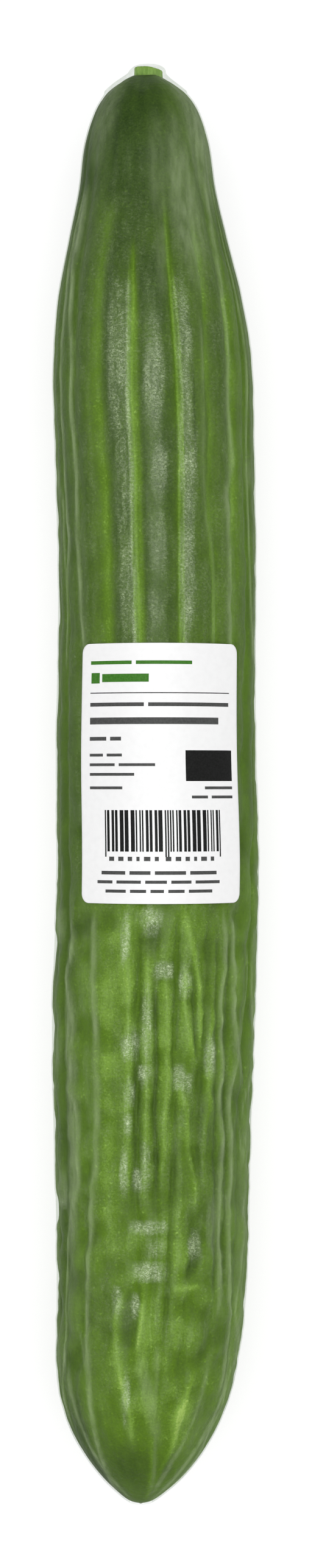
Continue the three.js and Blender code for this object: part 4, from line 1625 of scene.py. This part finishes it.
@dataclass
class Label:
    """The paper label stuck on the film, with generic print: a rule, strokes, a block and bars.

    Attributes:
        form: the shape that it is laid round.
        width: its width, in millimetres as all lengths here.
        height: its height along the fruit.
        corner: the radius of its corners.
        place: its middle along the fruit.
        angle: its middle's angle round the fruit, in degrees.
        inner: how far its underside stands off the outline.
        outer: how far its face does.
        columns: how many lines its grid has across, besides the edges of the print.
        rows: how many it has along.
        corner_rows: how many of them are in a rounded corner.
        bars: how many bars it has.
        bars_left: where they start.
        bars_top: the height of their tops.
        bar_height: how tall they are.
        guard_height: how tall the first, the last and the two in the middle are.
        thinnest: the width of the thinnest bar or gap.
        spread: how much wider than that the ink prints.
    """

    form: Form
    width: float = LABEL_WIDTH
    height: float = LABEL_HEIGHT
    corner: float = 2.0
    place: float = LABEL_PLACE
    angle: float = LABEL_ANGLE
    inner: float = 0.60
    outer: float = 0.72
    columns: int = 60
    rows: int = 50
    corner_rows: int = 9
    bars: int = 30
    bars_left: float = -12.3
    bars_top: float = -7.6
    bar_height: float = 8.6
    guard_height: float = 9.7
    thinnest: float = 0.2625
    spread: float = 0.05

    def blocks(self) -> list[Block]:
        """The printed rectangles. The bars' widths and gaps repeat by a small rule and code nothing.

        Returns:
            The blocks, the rules' strokes and the bars.
        """
        found = [*BLOCKS]
        for rule in RULES:
            found += rule.blocks()
        guards = (0, self.bars // 2 - 1, self.bars // 2, self.bars - 1)
        left = self.bars_left
        for i in range(self.bars):
            guard = i in guards
            width = self.thinnest * (1 if guard else 1 + (i * i + i // 3) % 3)
            tall = self.guard_height if guard else self.bar_height
            middle = self.bars_top - tall / 2
            found.append(Block(left + width / 2, middle, width + self.spread, tall, Ink.BLACK))
            left += width + self.thinnest * (1 if guard else 1 + i % 2)
        return found

    def build(self) -> bpy.types.Object:
        """Makes the label and dresses it.

        Its face is a grid over its width and height, laid round the fruit at one radius. The grid's
        lines run along the edges of every printed block, so each block is a whole number of faces.
        Rows near the top and bottom are drawn in by a quarter circle, which rounds the corners.

        Returns:
            The finished piece.
        """
        blocks = self.blocks()
        half_w, half_h = self.width / 2, self.height / 2
        straight = half_h - self.corner
        rounded = straight + self.corner * np.sin(np.linspace(0.0, np.pi / 2, self.corner_rows))
        edges_x = [block.x + side * block.width / 2 for block in blocks for side in (-1, 1)]
        edges_y = [block.y + side * block.height / 2 for block in blocks for side in (-1, 1)]
        even_x = np.linspace(-half_w, half_w, self.columns)
        even_y = np.linspace(-straight, straight, self.rows)
        xs = np.unique(np.round([*even_x, *edges_x], 4))
        ys = np.unique(np.round([*even_y, *rounded, *-rounded, *edges_y], 4))
        into = np.clip(np.abs(ys) - straight, 0.0, self.corner)
        narrowed = 1.0 - (self.corner - np.sqrt(self.corner**2 - into**2)) / half_w
        y, x = np.meshgrid(ys, xs, indexing="ij")
        wide = x * narrowed[:, None]
        faces = [self.face(y, wide, lift).reshape(-1, 3) for lift in (self.outer, self.inner)]
        count = y.size
        here = np.arange(count).reshape(y.shape)
        corners = [here[:-1, :-1], here[:-1, 1:], here[1:, 1:], here[1:, :-1]]
        top = np.stack(corners, axis=-1).reshape(-1, 4)
        under = top[:, ::-1] + count
        rim = np.concatenate([here[0, :], here[1:, -1], here[-1, -2::-1], here[-2:0:-1, 0]])
        ahead = np.roll(rim, -1)
        wall = np.stack([rim, rim + count, ahead + count, ahead], axis=-1)
        piece = make_mesh("label", np.concatenate(faces), np.concatenate([top, under, wall]))
        inks = np.zeros(len(piece.data.polygons), np.int32)
        inks[: len(top)] = self.inks(xs, ys, blocks).ravel()
        for finish in (
            CoatedPaper(),
            PrintingInk("black_printing_ink", "0e0f0e", "1c1d1c"),
            PrintingInk("green_printing_ink", "38701f", "4a8230"),
            PrintingInk("grey_printing_ink", "454645", "565756"),
        ):
            piece.data.materials.append(finish.build())
        piece.data.polygons.foreach_set("material_index", inks)
        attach(piece, "root")
        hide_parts("paper_label")
        return piece

    def inks(self, xs: np.ndarray, ys: np.ndarray, blocks: list[Block]) -> np.ndarray:
        """What each face of the grid is covered with: a block's ink where its middle is in the block.

        Args:
            xs: the grid's lines across.
            ys: its lines along.
            blocks: the printed rectangles, later ones over earlier ones.

        Returns:
            The number of each face's material, of rows by columns.
        """
        middle_x = ((xs[:-1] + xs[1:]) / 2)[None, :]
        middle_y = ((ys[:-1] + ys[1:]) / 2)[:, None]
        covered = np.full((len(ys) - 1, len(xs) - 1), Ink.PAPER.value, np.int32)
        for block in blocks:
            across = np.abs(middle_x - block.x) < block.width / 2
            along = np.abs(middle_y - block.y) < block.height / 2
            covered[across & along] = block.ink.value
        return covered

    def face(self, y: np.ndarray, x: np.ndarray, lift: float) -> np.ndarray:
        """Points of the label: x is bent round the fruit and y runs along it.

        Args:
            y: distances over the label's middle, of rows by columns.
            x: distances across from it.
            lift: how far the points stand off the outline.

        Returns:
            The points in millimetres, with x, y, z on a last axis.
        """
        place = self.place + y
        radius = self.form.radius(place) + lift
        turn = np.degrees(x / (self.form.radius(np.array(self.place)) + lift))
        return self.form.points(place, radius, self.angle + turn, 0.0)


@dataclass
class Studio:
    """A pale table lit from all round, two long soft lights at the sides and one above.

    Attributes:
        photo_size: the photograph's width and height in pixels.
        mm_per_pixel: its scale at the fruit's axis.
        eye_mm: how far over that axis it was taken.
        plane_mm: the height of the axis over the table.
        sensor_mm: the length of the camera's sensor.
        table_mm: the table's width and length.
        table_paint: its colour.
        table_glow: how brightly it is lit through.
        surroundings: how bright the white surroundings are.
        side_watts: the power of each side light.
        top_watts: the power of the light above.
    """

    photo_size: tuple[int, int] = (512, 2576)
    mm_per_pixel: float = 0.13
    eye_mm: float = 630.0
    plane_mm: float = 21.9
    sensor_mm: float = 36.0
    table_mm: float = 3000.0
    table_paint: str = "a0a0a0"
    table_glow: float = 0.72
    surroundings: float = 0.08
    side_watts: float = 1.05
    top_watts: float = 8.4

    def camera(self) -> None:
        """Looks straight down on the middle of the photograph's frame from its distance."""
        data = bpy.data.cameras.new("camera")
        data.sensor_width = self.sensor_mm
        data.lens = self.sensor_mm * self.eye_mm / (self.photo_size[1] * self.mm_per_pixel)
        eye = bpy.data.objects.new("camera", data)
        eye.location = (0.0, 0.0, (self.plane_mm + self.eye_mm) * MM)
        bpy.context.collection.objects.link(eye)
        bpy.context.scene.camera = eye

    def floor(self) -> None:
        """A wide pale table top, lit through from below like a light table."""
        half = self.table_mm / 2
        corners = np.array([[-half, -half, 0], [half, -half, 0], [half, half, 0], [-half, half, 0]])
        table = make_mesh("floor", corners, np.array([[0, 1, 2, 3]]))
        material, tree = new_material("pale_table")
        paint = add_node(
            tree,
            "BsdfPrincipled",
            {
                "Base Color": colour(self.table_paint),
                "Roughness": 0.9,
                "Emission Color": colour("ffffff"),
                "Emission Strength": self.table_glow,
            },
        )
        add_node(tree, "OutputMaterial", {"Surface": paint.outputs[0]})
        table.data.materials.append(material)

    def light(
        self, name: str, x: float, z: float, size: tuple[float, float], power: float, turn: float
    ) -> None:
        """A long soft light along the fruit.

        Args:
            name: its name.
            x: where it stands to the side, in metres.
            z: how high it stands, in metres.
            size: its width and its length along the fruit, in metres.
            power: its power in watts.
            turn: its turn about Y in radians, 0 facing down.
        """
        data = bpy.data.lights.new(name, "AREA")
        data.shape = "RECTANGLE"
        data.size, data.size_y = size
        data.energy = power
        lamp = bpy.data.objects.new(name, data)
        lamp.location = (x, 0.0, z)
        lamp.rotation_euler = (0.0, turn, 0.0)
        bpy.context.collection.objects.link(lamp)

    def build(self) -> None:
        """Sets up the table, the lights, the white surroundings and the camera."""
        self.floor()
        self.camera()
        world = bpy.data.worlds.new("surroundings")
        world.use_nodes = True
        background = world.node_tree.nodes["Background"]
        background.inputs["Color"].default_value = colour("ffffff")
        background.inputs["Strength"].default_value = self.surroundings
        bpy.context.scene.world = world
        for name, x, turn in (("left_light", -0.50, -1.03), ("right_light", 0.50, 1.03)):
            self.light(name, x=x, z=0.30, size=(0.14, 1.0), power=self.side_watts, turn=turn)
        self.light("top_light", x=0.0, z=0.95, size=(0.80, 1.0), power=self.top_watts, turn=0.0)
        view = bpy.context.scene.view_settings
        view.view_transform = "Standard"
        view.look = "None"
        view.exposure = 0.0


def main() -> None:
    """Builds the pieces in order, sets them in the studio and notes the sizes."""
    logging.basicConfig(level=logging.INFO, format="%(name)s: %(message)s")
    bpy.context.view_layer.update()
    form = Form()
    for part in (Fruit(form), Stub(), Film(form), Label(form)):
        piece = part.build()
        log.info("%s has %d faces", piece.name, len(piece.data.polygons))
    Studio().build()


if __name__ == "__main__":
    main()
